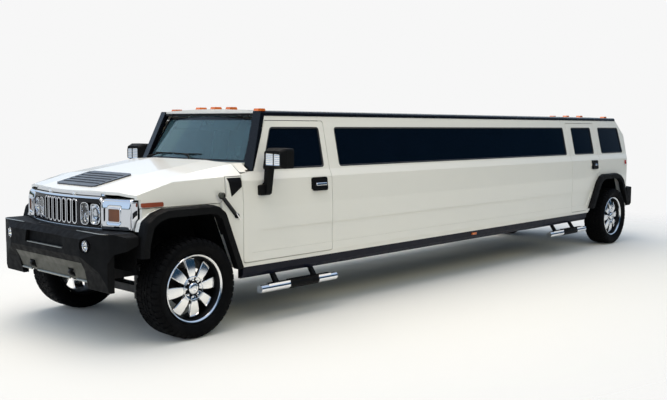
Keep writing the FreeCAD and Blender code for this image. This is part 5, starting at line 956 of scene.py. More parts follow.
@dataclass
class Rim:
    """One plated rim: lip, barrel, eight fan spokes, hub, nuts, cap and brake.

    Attributes:
        lip: Radius of the lip.
        edge: Distance of the lip from the middle plane.
        well: Radius of the barrel's middle.
        turn: Turn of the first spoke, in radians.
        nut_ring: Radius of the circle of wheel nuts.
        stations: Up a spoke: radius, half width, height of its face and thickness.
    """

    tyre: Tyre
    lip: float = 0.2975
    edge: float = 0.13
    well: float = 0.262
    spokes: int = 8
    turn: float = 0.09
    nuts: int = 8
    nut_ring: float = 0.0715
    stations: tuple[tuple[float, float, float, float], ...] = (
        (0.074, 0.022, 0.089, 0.05), (0.096, 0.027, 0.097, 0.044), (0.125, 0.036, 0.1, 0.038),
        (0.165, 0.043, 0.099, 0.034), (0.205, 0.048, 0.094, 0.032), (0.235, 0.05, 0.087, 0.034),
        (0.26, 0.051, 0.078, 0.046),
    )

    def at(self, along: float) -> Point:
        """A point on the axle, outboard of the rim's middle plane."""
        x, y, z = self.tyre.centre
        return (x, y + along * self.tyre.side.value, z)

    def name(self, part: str) -> str:
        """A piece's name with its corner of the vehicle."""
        return f"{part}_{self.tyre.end.word}_{self.tyre.side.word}"

    def turned(self, part: str, profile: Sequence[Flat], finish: Finish, sides: int = 72,
            bevel: float = 0.0, closed: bool = False) -> Piece:
        """Turns one piece about the axle.

        Args:
            part: What it is.
            profile: Pairs of distance outboard and radius.
            finish: Its finish.
            sides: Steps round the axle.
            bevel: Width of its softened edges.
            closed: Whether the profile is a closed loop.

        Returns:
            The piece.
        """
        sign = self.tyre.side.value
        drawn = Draft().turned([(along * sign, reach) for along, reach in profile], self.at(0.0), sides,
            closed=closed)
        return drawn.piece(self.name(part), finish, self.tyre.body, bevel=bevel, crease=30.0)

    def spoke(self, draft: Draft) -> None:
        """Draws one spoke upright from the hub to the lip.

        Args:
            draft: The mesh that it is drawn in.
        """
        x, y, z = self.tyre.centre
        sign = self.tyre.side.value
        rings = []
        for reach, half, face, deep in self.stations:
            bow = half * half * 0.5 / reach
            section = [(-half, face - 0.007, -bow), (-half * 0.9, face - 0.001, -bow * 0.8),
                (0.0, face, 0.0), (half * 0.9, face - 0.001, -bow * 0.8), (half, face - 0.007, -bow),
                (half * 0.92, face - deep, -bow), (-half * 0.92, face - deep, -bow)]
            rings.append(draft.ring(Vector((x + across, y + along * sign, z + reach + lift))
                for across, along, lift in section))
        draft.loft(rings)

    def build(self) -> None:
        """Builds the rim and everything on it."""
        lip, edge = self.lip, self.edge
        chrome, black = Palette.WHEEL_CHROME, Palette.WELL_BLACK
        outer = self.turned("rim_lip", [
            (edge - 0.024, lip - 0.017), (edge - 0.01, lip - 0.019), (edge - 0.002, lip - 0.012),
            (edge + 0.001, lip - 0.004), (edge - 0.003, lip), (edge - 0.024, lip)], chrome, 96, closed=True)
        # The barrel is shade black: painted shade in the gaps behind the spokes, where a real barrel is
        # bright.
        self.turned("rim_barrel", [(-edge, lip), (-edge, lip - 0.012), (-edge + 0.014, lip - 0.024),
            (-0.06, self.well), (0.06, self.well), (edge - 0.026, lip - 0.018), (edge - 0.02, lip - 0.012),
            (0.06, lip - 0.009), (-0.06, lip - 0.01), (-edge + 0.016, lip - 0.004)], black, closed=True)
        draft = Draft()
        self.spoke(draft)
        draft.around(self.tyre.centre, self.spokes, self.turn)
        draft.piece(self.name("rim_spokes"), chrome, self.tyre.body, bevel=0.002, crease=30.0)
        self.turned("rim_hub", [(0.02, 0.104), (0.092, 0.107), (0.102, 0.104), (0.105, 0.1), (0.103, 0.096),
            (0.09, 0.094), (0.08, 0.092), (0.06, 0.092)], chrome, closed=True)
        # The hub's recess is shade black: painted shade in the hollow.
        self.turned("hub_recess", [(0.06, 0.0), (0.06, 0.0925), (0.0785, 0.0925), (0.0785, 0.0)], black, 48)
        self.turned("hub_cap", [(0.07, 0.05), (0.104, 0.05), (0.112, 0.045), (0.117, 0.036), (0.118, 0.022),
            (0.113, 0.019), (0.114, 0.008), (0.114, 0.0)], chrome, 48)
        x, y, z = self.tyre.centre
        sign = self.tyre.side.value
        nut = [(0.07 * sign, 0.0115), (0.0945 * sign, 0.0115), (0.0985 * sign, 0.009), (0.1 * sign, 0.0)]
        nuts = Draft().turned(nut, (x, y, z + self.nut_ring), 6).around(self.tyre.centre, self.nuts)
        nuts.piece(self.name("wheel_nuts"), chrome, self.tyre.body, bevel=0.0012)
        self.turned("brake_disc", [(-0.044, 0.08), (-0.044, 0.166), (-0.02, 0.166), (-0.02, 0.08)],
            Palette.IRON, 64, 0.002, closed=True)
        self.turned("brake_hat", [(-0.046, 0.0), (-0.046, 0.084), (0.02, 0.084), (0.022, 0.0)],
            Palette.IRON, 48)
        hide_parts(self.name("rim"))


@dataclass(frozen=True)
class Lamp:
    """A kind of round lamp, with one on each side.

    Attributes:
        name: Its name.
        place: Middle of its lens's edge, on the left.
        radius: Its lens's radius.
        depth: Depth of the bowl behind the lens.
        dome: How far the lens swells forward.
        rim: Its rim's finish.
    """

    name: str
    place: Point
    radius: float
    depth: float
    dome: float
    rim: Finish = Palette.CHROME

    def build(self, side: Side) -> Piece:
        """Builds its bowl, bulb, lens and rim.

        Args:
            side: Which side.

        Returns:
            The bowl.
        """
        name, depth, radius = f"{self.name}_{side.word}", self.depth, self.radius
        place = (self.place[0], self.place[1] * side.value, self.place[2])
        bowl = [(-depth, 0.0), (-depth, radius * 0.3), (-depth * 0.86, radius * 0.56),
            (-depth * 0.52, radius * 0.82), (-0.003, radius * 0.95), (-0.003, radius),
            (-depth - 0.003, radius), (-depth - 0.003, 0.0)]
        turns = [math.pi / 2 * step / 7 for step in range(8)]
        lens = [(self.dome * math.cos(turn) + 0.001, radius * 0.955 * math.sin(turn)) for turn in turns]
        lens += [(-0.002, radius * 0.955), (-0.002, 0.0)]
        bulb = [(-depth * 0.9, 0.0), (-depth * 0.9, radius * 0.14), (-depth * 0.45, radius * 0.14),
            (-depth * 0.3, 0.0)]
        frame = [(-0.006, radius * 0.93), (0.004, radius * 0.94), (0.008, radius * 1.0),
            (0.004, radius * 1.07), (-0.006, radius * 1.08)]
        made = Draft().turned(bowl, place, 40, "X").piece(f"{name}_bowl", Palette.BRIGHT)
        Draft().turned(bulb, place, 16, "X").piece(f"{name}_bulb", Palette.BULB)
        Draft().turned(lens, place, 40, "X").piece(f"{name}_lens", Palette.LENS, crease=50.0)
        Draft().turned(frame, place, 48, "X", closed=True).piece(f"{name}_bezel", self.rim)
        return made


@dataclass
class FrontLamps:
    """The round head lamps and fog lamps."""

    kinds: tuple[Lamp, ...] = (
        Lamp("dip_lamp", (4.736, 0.486, 1.085), 0.054, 0.05, 0.014),
        Lamp("main_lamp", (4.744, 0.362, 1.055), 0.048, 0.05, 0.012),
        Lamp("small_lamp", (4.744, 0.362, 1.141), 0.026, 0.04, 0.008),
        Lamp("fog_lamp", (4.938, 0.64, 0.85), 0.05, 0.05, 0.006, Palette.GLOSS_BLACK),
    )

    def build(self) -> None:
        """Builds every lamp on both sides."""
        made = [kind.build(side) for side in Side for kind in self.kinds]
        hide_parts("headlamps")


@dataclass
class Glazing:
    """Rubber seals round the side windows and the screen."""

    wall: SideWall
    windows: tuple[tuple[str, str, tuple[Flat, ...]], ...] = (("front_door", "front_door_body",
        ((2.409, 1.425), (3.237, 1.425), (3.069, 1.816), (2.409, 1.816))),
        ("long", "", ((-2.721, 1.425), (2.175, 1.425), (2.175, 1.816), (-2.721, 1.816))),
        ("rear_door", "rear_door_body", ((-3.589, 1.425), (-2.971, 1.425), (-2.971, 1.816),
        (-3.589, 1.816))), ("quarter", "", ((-4.601, 1.425), (-3.849, 1.425), (-3.849, 1.816),
        (-4.555, 1.816))),)

    def build(self) -> None:
        """Builds the seal of every side window."""
        for side in Side:
            for name, body, corners in self.windows:
                outline = rounded(corners, 0.034)
                draft = Draft()
                rings = []
                for inset, proud in ((-0.004, -0.004), (-0.004, 0.0015), (0.001, 0.0025), (0.006, 0.0012),
                        (0.012, -0.006)):
                    grown = self.inset(outline, inset)
                    rings.append(draft.ring(Vector(self.wall.point(x, z, side, proud)) for x, z in grown))
                draft.bridge(rings)
                draft.piece(f"{name}_window_seal_{side.word}", Palette.SEAL, f"{body}_{side.word}" if body
                    else "body", crease=60.0)

    @staticmethod
    def inset(outline: Sequence[Flat], depth: float) -> list[Flat]:
        """Moves a closed outline inwards.

        Args:
            outline: Its corners, either way round.
            depth: How far inwards.

        Returns:
            The moved corners.
        """
        count = len(outline)
        area = sum(outline[i][0] * outline[(i + 1) % count][1] - outline[(i + 1) % count][0] * outline[i][1]
            for i in range(count))
        moved = []
        for index, (a, b) in enumerate(outline):
            before, after = Vector(outline[index - 1]), Vector(outline[(index + 1) % count])
            along = (after - before).normalized()
            sign = 1.0 if area > 0 else -1.0
            moved.append((a - along.y * depth * sign, b + along.x * depth * sign))
        return moved


@dataclass
class Nose:
    """The bowed face of the grille shell: its black panel, lamp pods and small bright parts."""

    tip: float = 4.799
    bow: float = 0.17
    half: float = 0.88
    slots: int = 7
    pitch: float = 0.078
    slot: Flat = (0.031, 0.107)
    middle: float = 1.096
    bay: tuple[float, float, float, float] = (0.298, 0.552, 0.99, 1.18)
    band: float = 0.04

    def face(self, across: float, back: float = 0.0) -> float:
        """X of the shell's face, or of a surface behind it, at a distance from the middle."""
        return self.tip - self.bow * (across / self.half) ** 2 - back

    def plate(self, name: str, outline: Sequence[Flat], holes: Sequence[Sequence[Flat]], finish: Finish,
            proud: float, thick: float = 0.004, body: str = "body", bevel: float = 0.0) -> Piece:
        """Builds a bowed plate on the face, seen from in front.

        Args:
            name: Its name.
            outline: Its edge as distances from the middle and heights.
            holes: Its openings.
            finish: Its finish.
            proud: How far its front stands off the shell's face.
            thick: Its thickness.
            body: The body that it moves with.
            bevel: Width of its softened edges.

        Returns:
            The plate.
        """
        loops = [list(outline)] + [list(hole) for hole in holes]
        draft = Draft()
        sheet = draft.mesh
        corners = draft.ring(Vector((across, height, 0.0)) for loop in loops for across, height in loop)
        for triangle in tessellate_polygon([[Vector((a, z, 0.0)) for a, z in loop] for loop in loops]):
            sheet.faces.new([corners[index] for index in triangle])
        bands = math.ceil(max(abs(across) for across, _ in outline) / self.band)
        for index in range(-bands, bands + 1):
            parts = sheet.verts[:] + sheet.edges[:] + sheet.faces[:]
            bmesh.ops.bisect_plane(sheet, geom=parts, dist=TINY, plane_co=(index * self.band, 0.0, 0.0),
                plane_no=(1.0, 0.0, 0.0))
        front, faces = sheet.verts[:], sheet.faces[:]
        rim = [edge for edge in sheet.edges if edge.is_boundary]
        behind = {corner: sheet.verts.new(corner.co) for corner in front}
        for face in faces:
            sheet.faces.new([behind[corner] for corner in reversed(face.verts)])
        for edge in rim:
            one, two = edge.verts
            sheet.faces.new((one, two, behind[two], behind[one]))
        for corner in front:
            across, height = corner.co.x, corner.co.y
            corner.co = (self.face(across, -proud), across, height)
            behind[corner].co = (self.face(across, thick - proud), across, height)
        return draft.piece(name, finish, body, bevel=bevel, crease=25.0)

    @staticmethod
    def mirrored(outline: Sequence[Flat], side: Side) -> list[Flat]:
        """An outline drawn on the left, moved to a side."""
        return [(across * side.value, height) for across, height in outline]

    def frame(self, name: str, outline: Sequence[Flat], width: float, finish: Finish, proud: float,
            thick: float = 0.008) -> Piece:
        """Builds a narrow bowed frame round an opening.

        Args:
            name: Its name.
            outline: Its inner edge.
            width: Its width.
            finish: Its finish.
            proud: How far its front stands off the shell's face.
            thick: Its thickness.

        Returns:
            The frame.
        """
        return self.plate(name, Glazing.inset(outline, -width), [outline], finish, proud, thick,
            bevel=0.0015)

    def black_panel(self) -> None:
        """Lays the black panel over the shell round the slots and lamps."""
        low, high = 0.974, 1.214
        edge = [(-0.56, low), (0.56, low), (0.56, high - 0.03), (0.535, high), (-0.535, high),
                (-0.56, high - 0.03)]
        holes = [rounded(self.mirrored(rectangle(*self.bay), side), 0.03) for side in Side]
        half, reach = self.slot
        for index in range(self.slots):
            y = (index - (self.slots - 1) / 2) * self.pitch
            holes.append(rounded(rectangle(y - half, y + half, self.middle - reach, self.middle + reach),
                0.016))
        self.plate("grille_black_panel", edge, holes, Palette.GLOSS_BLACK, 0.002, 0.006)
        self.plate("grille_lower_strip", rectangle(-0.566, 0.566, 0.96, 0.968), [], Palette.CHROME, 0.006,
            0.01)
        for side in Side:
            outline = self.mirrored(rectangle(0.56, 0.567, 0.972, 1.165), side)
            self.plate(f"grille_upright_strip_{side.word}", outline, [], Palette.CHROME, 0.006, 0.01)

    def slot_backs(self) -> None:
        """Sets a mesh deep behind the slots, in shade black that paints the shade there."""
        back, wire = 0.055, 0.0022
        draft = Draft()
        for index in range(self.slots * 3 + 2):
            y = (index - self.slots * 1.5 - 0.5) * self.pitch / 3.0
            draft.tube([(self.face(y, back), y, 0.992), (self.face(y, back), y, 1.2)], wire, 6)
        for index in range(9):
            z = 1.004 + index * 0.023
            draft.tube([(self.face(y, back), y, z) for y in (-0.27, -0.18, -0.09, 0.0, 0.09, 0.18, 0.27)],
                wire, 6)
        draft.piece("grille_mesh", Palette.WELL_BLACK)

    def pods(self) -> None:
        """Builds the lamp pods in each bay: the capsule with two lamps and the tall outer lamp."""
        inner, outer, bottom, top = self.bay
        spare = 0.004
        bay = rectangle(inner - spare, outer + spare, bottom - spare, top + spare)
        for side in Side:
            word = side.word
            floor = rounded(self.mirrored(bay, side), 0.03)
            # The bay's floor is shade black: partly the housing's own black, partly painted shade at the
            # back of the bay.
            self.plate(f"lamp_bay_floor_{word}", floor, [], Palette.WELL_BLACK, -0.058, 0.004)
            capsule = rounded(self.mirrored(rectangle(0.317, 0.408, 0.996, 1.174), side), 0.04, 8)
            self.frame(f"capsule_frame_{word}", capsule, 0.006, Palette.CHROME, 0.004, 0.02)
            self.plate(f"capsule_lens_{word}", capsule, [], Palette.LENS, 0.001, 0.003)
            tall = rounded(self.mirrored([(0.44, 1.004), (0.52, 1.004), (0.54, 1.04), (0.54, 1.13),
                (0.52, 1.166), (0.44, 1.166)], side), 0.022, 6)
            self.frame(f"outer_lamp_frame_{word}", tall, 0.005, Palette.CHROME, 0.002, 0.02)
            self.plate(f"outer_lamp_lens_{word}", tall, [], Palette.LENS, -0.002, 0.003)
            draft = Draft()
            shrunk = [Glazing.inset(tall, depth) for depth in (0.0, 0.006, 0.02, 0.034)]
            rings = [draft.ring(Vector((self.face(a, back), a, z)) for a, z in loop)
                for loop, back in zip(shrunk, (0.008, 0.022, 0.036, 0.044))]
            draft.bridge(rings)
            draft.mesh.faces.new(rings[-1])
            draft.piece(f"outer_lamp_bowl_{word}", Palette.BRIGHT, crease=50.0)

    def crown(self) -> None:
        """Rolls a bright band over the shell's top edge."""
        draft = Draft()
        rings = []
        section = ((-0.003, 1.213), (-0.008, 1.216), (-0.007, 1.222), (0.0, 1.229), (0.012, 1.2335),
            (0.026, 1.2345), (0.026, 1.228), (0.002, 1.213))
        steps, width = 40, 1.09
        for across in (-0.545 + index * width / steps for index in range(steps + 1)):
            rings.append(draft.ring(Vector((self.face(across, back), across, z)) for back, z in section))
        draft.loft(rings).piece("grille_crown", Palette.CHROME, crease=50.0)

    def corner_skin(self, side: Side) -> None:
        """Builds a corner's bright skin, which leans back and rolls over at its top.

        Args:
            side: Which side.
        """
        draft = Draft()
        first, last, columns = 0.574, 0.852, 22
        roll, roll_width, roll_depth = 0.832, 0.02, 0.014
        window = (0.64, 0.764, 1.029, 1.147)
        profile = [(0.002, 0.966), (-0.011, 0.97), (-0.014, 1.0), (-0.0125, 1.03), (-0.0122, 1.034),
            (-0.0118, 1.06), (-0.0112, 1.09), (-0.0106, 1.12), (-0.0102, 1.142), (-0.01, 1.146),
            (-0.004, 1.178), (0.004, 1.2), (0.016, 1.216), (0.034, 1.2225), (0.046, 1.2245),
            (0.058, 1.2235)]
        marks = [first + index * (last - first) / columns for index in range(columns + 1)]
        grid = []
        for mark in marks:
            turn = max(0.0, (mark - roll) / roll_width) ** 2 * roll_depth
            grid.append(draft.ring(Vector((self.face(mark, back + turn), mark * side.value, z))
                for back, z in profile))
        for column, (one, two) in enumerate(zip(grid, grid[1:])):
            centre = (marks[column] + marks[column + 1]) / 2
            for row, ((_, low), (_, high)) in enumerate(zip(profile, profile[1:])):
                if window[0] < centre < window[1] and low >= window[2] and high <= window[3]:
                    continue
                draft.mesh.faces.new((one[row], two[row], two[row + 1], one[row + 1]))
        made = draft.piece(f"corner_skin_{side.word}", Palette.CHROME, crease=50.0)
        thick = made.modifiers.new("sheet", "SOLIDIFY")
        thick.thickness = 0.003
        thick.offset = 0.0

    def corners(self) -> None:
        """Adds the corner's skin and turn lamp frame, and dark plates that paint the shade of a narrow slot
        and small openings.
        """
        for side in Side:
            word = side.word
            self.corner_skin(side)
            lamp = rounded(self.mirrored(rectangle(0.645, 0.759, 1.036, 1.14), side), 0.014)
            self.frame(f"turn_lamp_frame_{word}", lamp, 0.009, Palette.CHROME, 0.015, 0.026)
            self.plate(f"turn_lamp_lens_{word}", lamp, [], Palette.AMBER, 0.006, 0.008)
            # The slot and openings are flat plates of shade black on the skin: painted shade.
            slot = rounded(self.mirrored([(0.596, 1.03), (0.612, 1.04), (0.612, 1.15), (0.596, 1.14)],
                side), 0.007)
            self.plate(f"corner_slot_{word}", slot, [], Palette.WELL_BLACK, 0.0145, 0.003)
            low = rounded(self.mirrored([(0.7, 0.984), (0.76, 0.984), (0.752, 1.002), (0.706, 1.002)],
                side), 0.006)
            self.plate(f"corner_opening_{word}", low, [], Palette.WELL_BLACK, 0.0155, 0.003)

    def lip(self) -> None:
        """Closes the gap under the bonnet's front edge with a bright strip that moves with it."""
        self.plate("bonnet_lip_strip", rectangle(-0.572, 0.572, 1.2395, 1.262), [], Palette.CHROME, -0.0245,
            0.006, "bonnet_lid", 0.0015)

    def build(self) -> None:
        """Builds the whole nose."""
        self.black_panel()
        self.slot_backs()
        self.pods()
        self.crown()
        self.corners()
        self.lip()


@dataclass
class Flank:
    """What is on a slab side: handles, mirror, latch, painted shade in the vent's slots and step treads.

    Attributes:
        handle_kinds: For each end: X of its handles, half their width, half their grip's width.
        handle_parts: For each part: heights, distances off the wall, finish, edge and corner radius.
        steps_along: For each end, where its step bars start and end.
    """

    wall: SideWall
    side: Side
    handle_kinds: tuple[tuple[str, float, float, float], ...] = (
        ("front", 2.519, 0.105, 0.074), ("rear", -3.529, 0.094, 0.03))
    handle_parts: tuple[tuple[str, Flat, Flat, Finish, float, float], ...] = (
        ("frame", (1.192, 1.326), (0.0, 0.016), Palette.MOULDING, 0.004, 0.022),
        # The well is shade black: painted shade in the recess behind the grip.
        ("well", (1.208, 1.3), (0.014, 0.0175), Palette.WELL_BLACK, 0.001, 0.014),
        ("grip", (1.244, 1.272), (0.016, 0.034), Palette.BRIGHT, 0.006, 0.009),
    )
    steps_along: tuple[tuple[str, float, float], ...] = (("front", 2.339, 3.364), ("rear", -3.129, -2.069))

    def bar(self, name: str, body: str, corners: Sequence[Flat], proud: tuple[float, float],
            finish: Finish, bevel: float = 0.002, radius: float = 0.008) -> Piece:
        """Builds a raised pad that follows the wall.

        Args:
            name: Its name.
            body: The body that it moves with.
            corners: Its outline as X and Z.
            proud: Where it starts and ends off the wall.
            finish: Its finish.
            bevel: Width of its softened edges.
            radius: How far its corners are rounded.

        Returns:
            The pad.
        """
        outline = rounded(corners, radius) if radius else list(corners)
        draft = Draft()
        draft.loft([draft.ring(Vector(self.wall.point(x, z, self.side, reach)) for x, z in outline)
            for reach in proud])
        return draft.piece(name, finish, body, bevel=bevel)

    def handles(self) -> None:
        """Builds the front and rear door handles."""
        for end, x, half, grip in self.handle_kinds:
            halves = {"frame": half, "well": half - 0.016, "grip": grip}
            for part, heights, proud, finish, bevel, radius in self.handle_parts:
                corners = rectangle(x - halves[part], x + halves[part], *heights)
                self.bar(f"{end}_handle_{part}_{self.side.word}", f"{end}_door_body_{self.side.word}",
                    corners, proud, finish, bevel, radius)

    def mirror(self) -> None:
        """Builds the mirror's lamp panel, glass and edges."""
        word, sign = self.side.word, self.side.value
        body = f"front_door_body_{word}"
        front, back = 3.3045, 3.1535
        frame = Draft()
        inner, outer, low, high = 1.022, 1.208, 1.472, 1.578
        outline = rounded([(inner * sign, low), (outer * sign, low), (outer * sign, high - 0.006),
            (inner * sign, high)], 0.012)
        rings = [frame.ring(Vector((front + ahead, y, z)) for y, z in Glazing.inset(outline, depth))
            for depth, ahead in ((-0.008, -0.004), (-0.006, 0.004), (0.0, 0.004), (0.002, -0.004))]
        frame.bridge(rings)
        frame.piece(f"mirror_lamp_frame_{word}", Palette.GLOSS_BLACK, body)
        panel = Draft()
        count, ripples, ripple_depth = 18, 12, 0.0016
        rings = []
        for share in (row / count for row in range(count + 1)):
            z = low + (high - low) * share
            x = front + 0.001 + ripple_depth * math.cos(share * math.pi * ripples)
            rings.append(panel.ring(Vector((x, y * sign, z)) for y in (inner, inner + 0.05, inner + 0.1,
                inner + 0.104, outer - 0.03, outer)))
        panel.bridge(rings, closed=False)
        panel.piece(f"mirror_lamp_{word}", Palette.BRIGHT, body, crease=60.0)
        divider = Draft().slab((front, (inner + 0.098) * sign, low), (front + 0.005, (inner + 0.106) * sign,
            high))
        divider.piece(f"mirror_lamp_divider_{word}", Palette.GLOSS_BLACK, body, bevel=0.001)
        outline = rounded(rectangle(0.995 * sign, 1.226 * sign, 1.458, 1.61), 0.02)
        glass = Draft().prism(outline, "YZ", back, back + 0.004)
        glass.piece(f"mirror_glass_{word}", Palette.BRIGHT, body, bevel=0.001)

    def latch(self) -> None:
        """Builds the rubber bonnet latch: button, strap and bright foot."""
        word = self.side.word
        top, foot = self.wall.point(3.779, 1.206, self.side, 0.01), self.wall.point(3.61, 1.03, self.side,
            0.01)
        path = [tuple(a + (b - a) * share for a, b in zip(top, foot))
            for share in (0.0, 0.25, 0.5, 0.75, 1.0)]
        Draft().tube(path, [0.017, 0.019, 0.021, 0.019, 0.015], 12, 0.6).piece(
            f"bonnet_latch_strap_{word}", Palette.SEAL, crease=60.0)
        x, y, z = top
        sign = self.side.value
        button = [(-0.008 * sign, 0.026), (0.01 * sign, 0.026), (0.017 * sign, 0.02), (0.019 * sign, 0.0)]
        Draft().turned(button, (x + 0.01, y, z + 0.012), 28).piece(f"bonnet_latch_button_{word}",
            Palette.SATIN)
        path = [self.wall.point(x, z, self.side, 0.014) for x, z in ((3.625, 1.052), (3.595, 1.012),
            (3.575, 0.985))]
        Draft().tube(path, [0.013, 0.016, 0.007], 12, 0.55).piece(f"bonnet_latch_foot_{word}",
            Palette.BRIGHT, crease=60.0)

    def steps(self) -> None:
        """Wraps the step bars' middles in ribbed rubber, and their brackets in black."""
        across, height, radius, flat = 1.004, 0.322, 0.0415, (0.034, 0.0455)
        turns = [math.radians(42 - 264 * step / 20) for step in range(21)]
        outline = [flat] + [(radius * math.cos(turn), radius * math.sin(turn)) for turn in turns]
        outline = [((across + out) * self.side.value, height + up)
            for out, up in outline + [(-flat[0], flat[1])]]
        leg = [(out * self.side.value, up) for out, up in ((0.989, 0.33), (0.956, 0.31), (0.877, 0.4312),
            (0.916, 0.4312))]
        ribs, half_rib, half_sleeve = 14, 0.005, 0.0235
        for name, start, stop in self.steps_along:
            span = stop - start
            low, high = start + span * 0.26, start + span * 0.64
            pad = Draft().prism(outline, "YZ", low, high)
            for index in range(ribs):
                x = low + (high - low) * (index + 0.5) / ribs
                pad.slab((x - half_rib, (across - 0.029) * self.side.value, height + 0.044),
                    (x + half_rib, (across + 0.029) * self.side.value, height + 0.049))
            pad.piece(f"{name}_step_tread_{self.side.word}", Palette.MOULDING, bevel=0.0015, crease=50.0)
            sleeves = Draft()
            for middle in (start + span * 0.25, start + span * 0.75):
                sleeves.prism(leg, "YZ", middle - half_sleeve, middle + half_sleeve)
            sleeves.piece(f"{name}_step_brackets_{self.side.word}", Palette.MOULDING, bevel=0.001)

    def vent_backs(self) -> None:
        """Paints shade into the cowl vent's slots with strips of shade black."""
        for index, height in enumerate((1.292, 1.312, 1.332)):
            self.bar(f"cowl_vent_back_{self.side.word}_{index + 1}", "body",
                rectangle(3.545, 3.644, height - 0.003, height + 0.012), (0.0006, 0.0035),
                Palette.WELL_BLACK, 0.0, 0.0)

    def build(self) -> None:
        """Builds everything on the side."""
        self.vent_backs()
        self.handles()
        self.mirror()
        self.latch()
        self.steps()


@dataclass
class Windscreen:
    """What belongs to the screen: its black border, wipers, pillar linings, visors and inside mirror."""

    bodywork: Bodywork
    foot: Flat = (3.395, 1.485)
    head: Flat = (3.154, 1.925)
    widths: Flat = (0.782, 0.69)
    bow: float = 0.06

    def half(self, height: float) -> float:
        """Half the glass's width at a height."""
        share = (height - self.foot[1]) / (self.head[1] - self.foot[1])
        return self.widths[0] + (self.widths[1] - self.widths[0]) * share

    def on(self, across: float, height: float, off: float = 0.0) -> Point:
        """A point on the glass, or off it, at a distance across and a height."""
        found = self.bodywork.touch(("windscreen",), (6.0, across, height), (-1.0, 0.0, 0.0))
        if found is not None:
            return (found.x + off, across, height)
        share = (height - self.foot[1]) / (self.head[1] - self.foot[1])
        x = self.foot[0] + (self.head[0] - self.foot[0]) * share
        return (x - self.bow * (across / self.half(height)) ** 2 + off, across, height)

    def border(self) -> None:
        """Lays the black border round the glass."""
        draft = Draft()
        rings = []
        for inset, off in ((0.008, -0.001), (0.008, 0.0025), (0.038, 0.0025), (0.038, -0.001)):
            low, high = self.foot[1] + 0.004 + inset * 0.5, self.head[1] - inset
            rise = [low + (high - low) * step / 6 for step in range(1, 6)]
            marks = [(step / 8 - 1, low) for step in range(17)] + [(1.0, z) for z in rise]
            marks += [(1 - step / 8, high) for step in range(17)] + [(-1.0, z) for z in reversed(rise)]
            rings.append(draft.ring(Vector(self.on(share * (self.half(z) - inset), z, off))
                for share, z in marks))
        draft.bridge(rings + rings[:1])
        draft.piece("windscreen_border", Palette.GLOSS_BLACK, crease=50.0)

    def wiper(self, name: str, pivot: float, blade: Flat) -> None:
        """Builds one wiper, parked along the glass's foot.

        Args:
            name: Its name.
            pivot: Its pivot's distance across.
            blade: Where its blade starts and ends across.
        """
        height = self.foot[1] + 0.062
        middle = sum(blade) / 2
        draft = Draft().tube([(self.foot[0] + 0.05, pivot, 1.482), (self.foot[0] + 0.046, pivot, 1.505),
            self.on(pivot * 0.6 + middle * 0.4, height - 0.01, 0.03), self.on(middle, height, 0.018)],
            [0.015, 0.012, 0.009, 0.006], 12)
        run = [blade[0] + (blade[1] - blade[0]) * step / 12 for step in range(13)]
        draft.tube([self.on(across, height + 0.012 * abs(across - middle), 0.006) for across in run],
            0.0045, 8)
        draft.tube([self.on(across, height, 0.014) for across in run[2:-2]], 0.0035, 8)
        draft.piece(name, Palette.MOULDING, crease=50.0)

    def inside(self) -> None:
        """Builds the pillar linings, the sun visors and the mirror behind the glass."""
        for side in Side:
            sign = side.value
            draft = Draft()
            rings = []
            for height in (1.44, 1.56, 1.68, 1.8, 1.915):
                edge = self.half(height) - 0.006
                rings.append(draft.ring(Vector(self.on(across * sign, height, -back))
                    for across, back in ((edge, 0.014), (edge - 0.12, 0.016), (edge - 0.13, 0.045),
                    (edge - 0.08, 0.075), (edge, 0.075))))
            # The linings are shade black: real trim, darkened to paint the dark reflection at the screen's
            # edges.
            draft.loft(rings).piece(f"pillar_lining_{side.word}", Palette.WELL_BLACK, bevel=0.006)
            visor = Draft().prism([(3.112, 1.905), (3.128, 1.909), (3.196, 1.79), (3.18, 1.782)], "XZ",
                0.09 * sign, 0.5 * sign)
            visor.piece(f"sun_visor_{side.word}", Palette.LINING, bevel=0.006, steps=3)
        mirror = Draft().slab((3.14, -0.125, 1.776), (3.166, 0.125, 1.836))
        mirror.tube([(3.156, 0.0, 1.82), (3.172, 0.0, 1.86), self.on(0.0, 1.875, -0.008)], 0.007, 10)
        mirror.piece("cabin_mirror", Palette.LINING, bevel=0.008, steps=3)

    def build(self) -> None:
        """Builds everything on the screen."""
        self.border()
        self.wiper("wiper_left", 0.06, (-0.4, 0.16))
        self.wiper("wiper_right", -0.64, (-0.7, -0.3))
        self.inside()


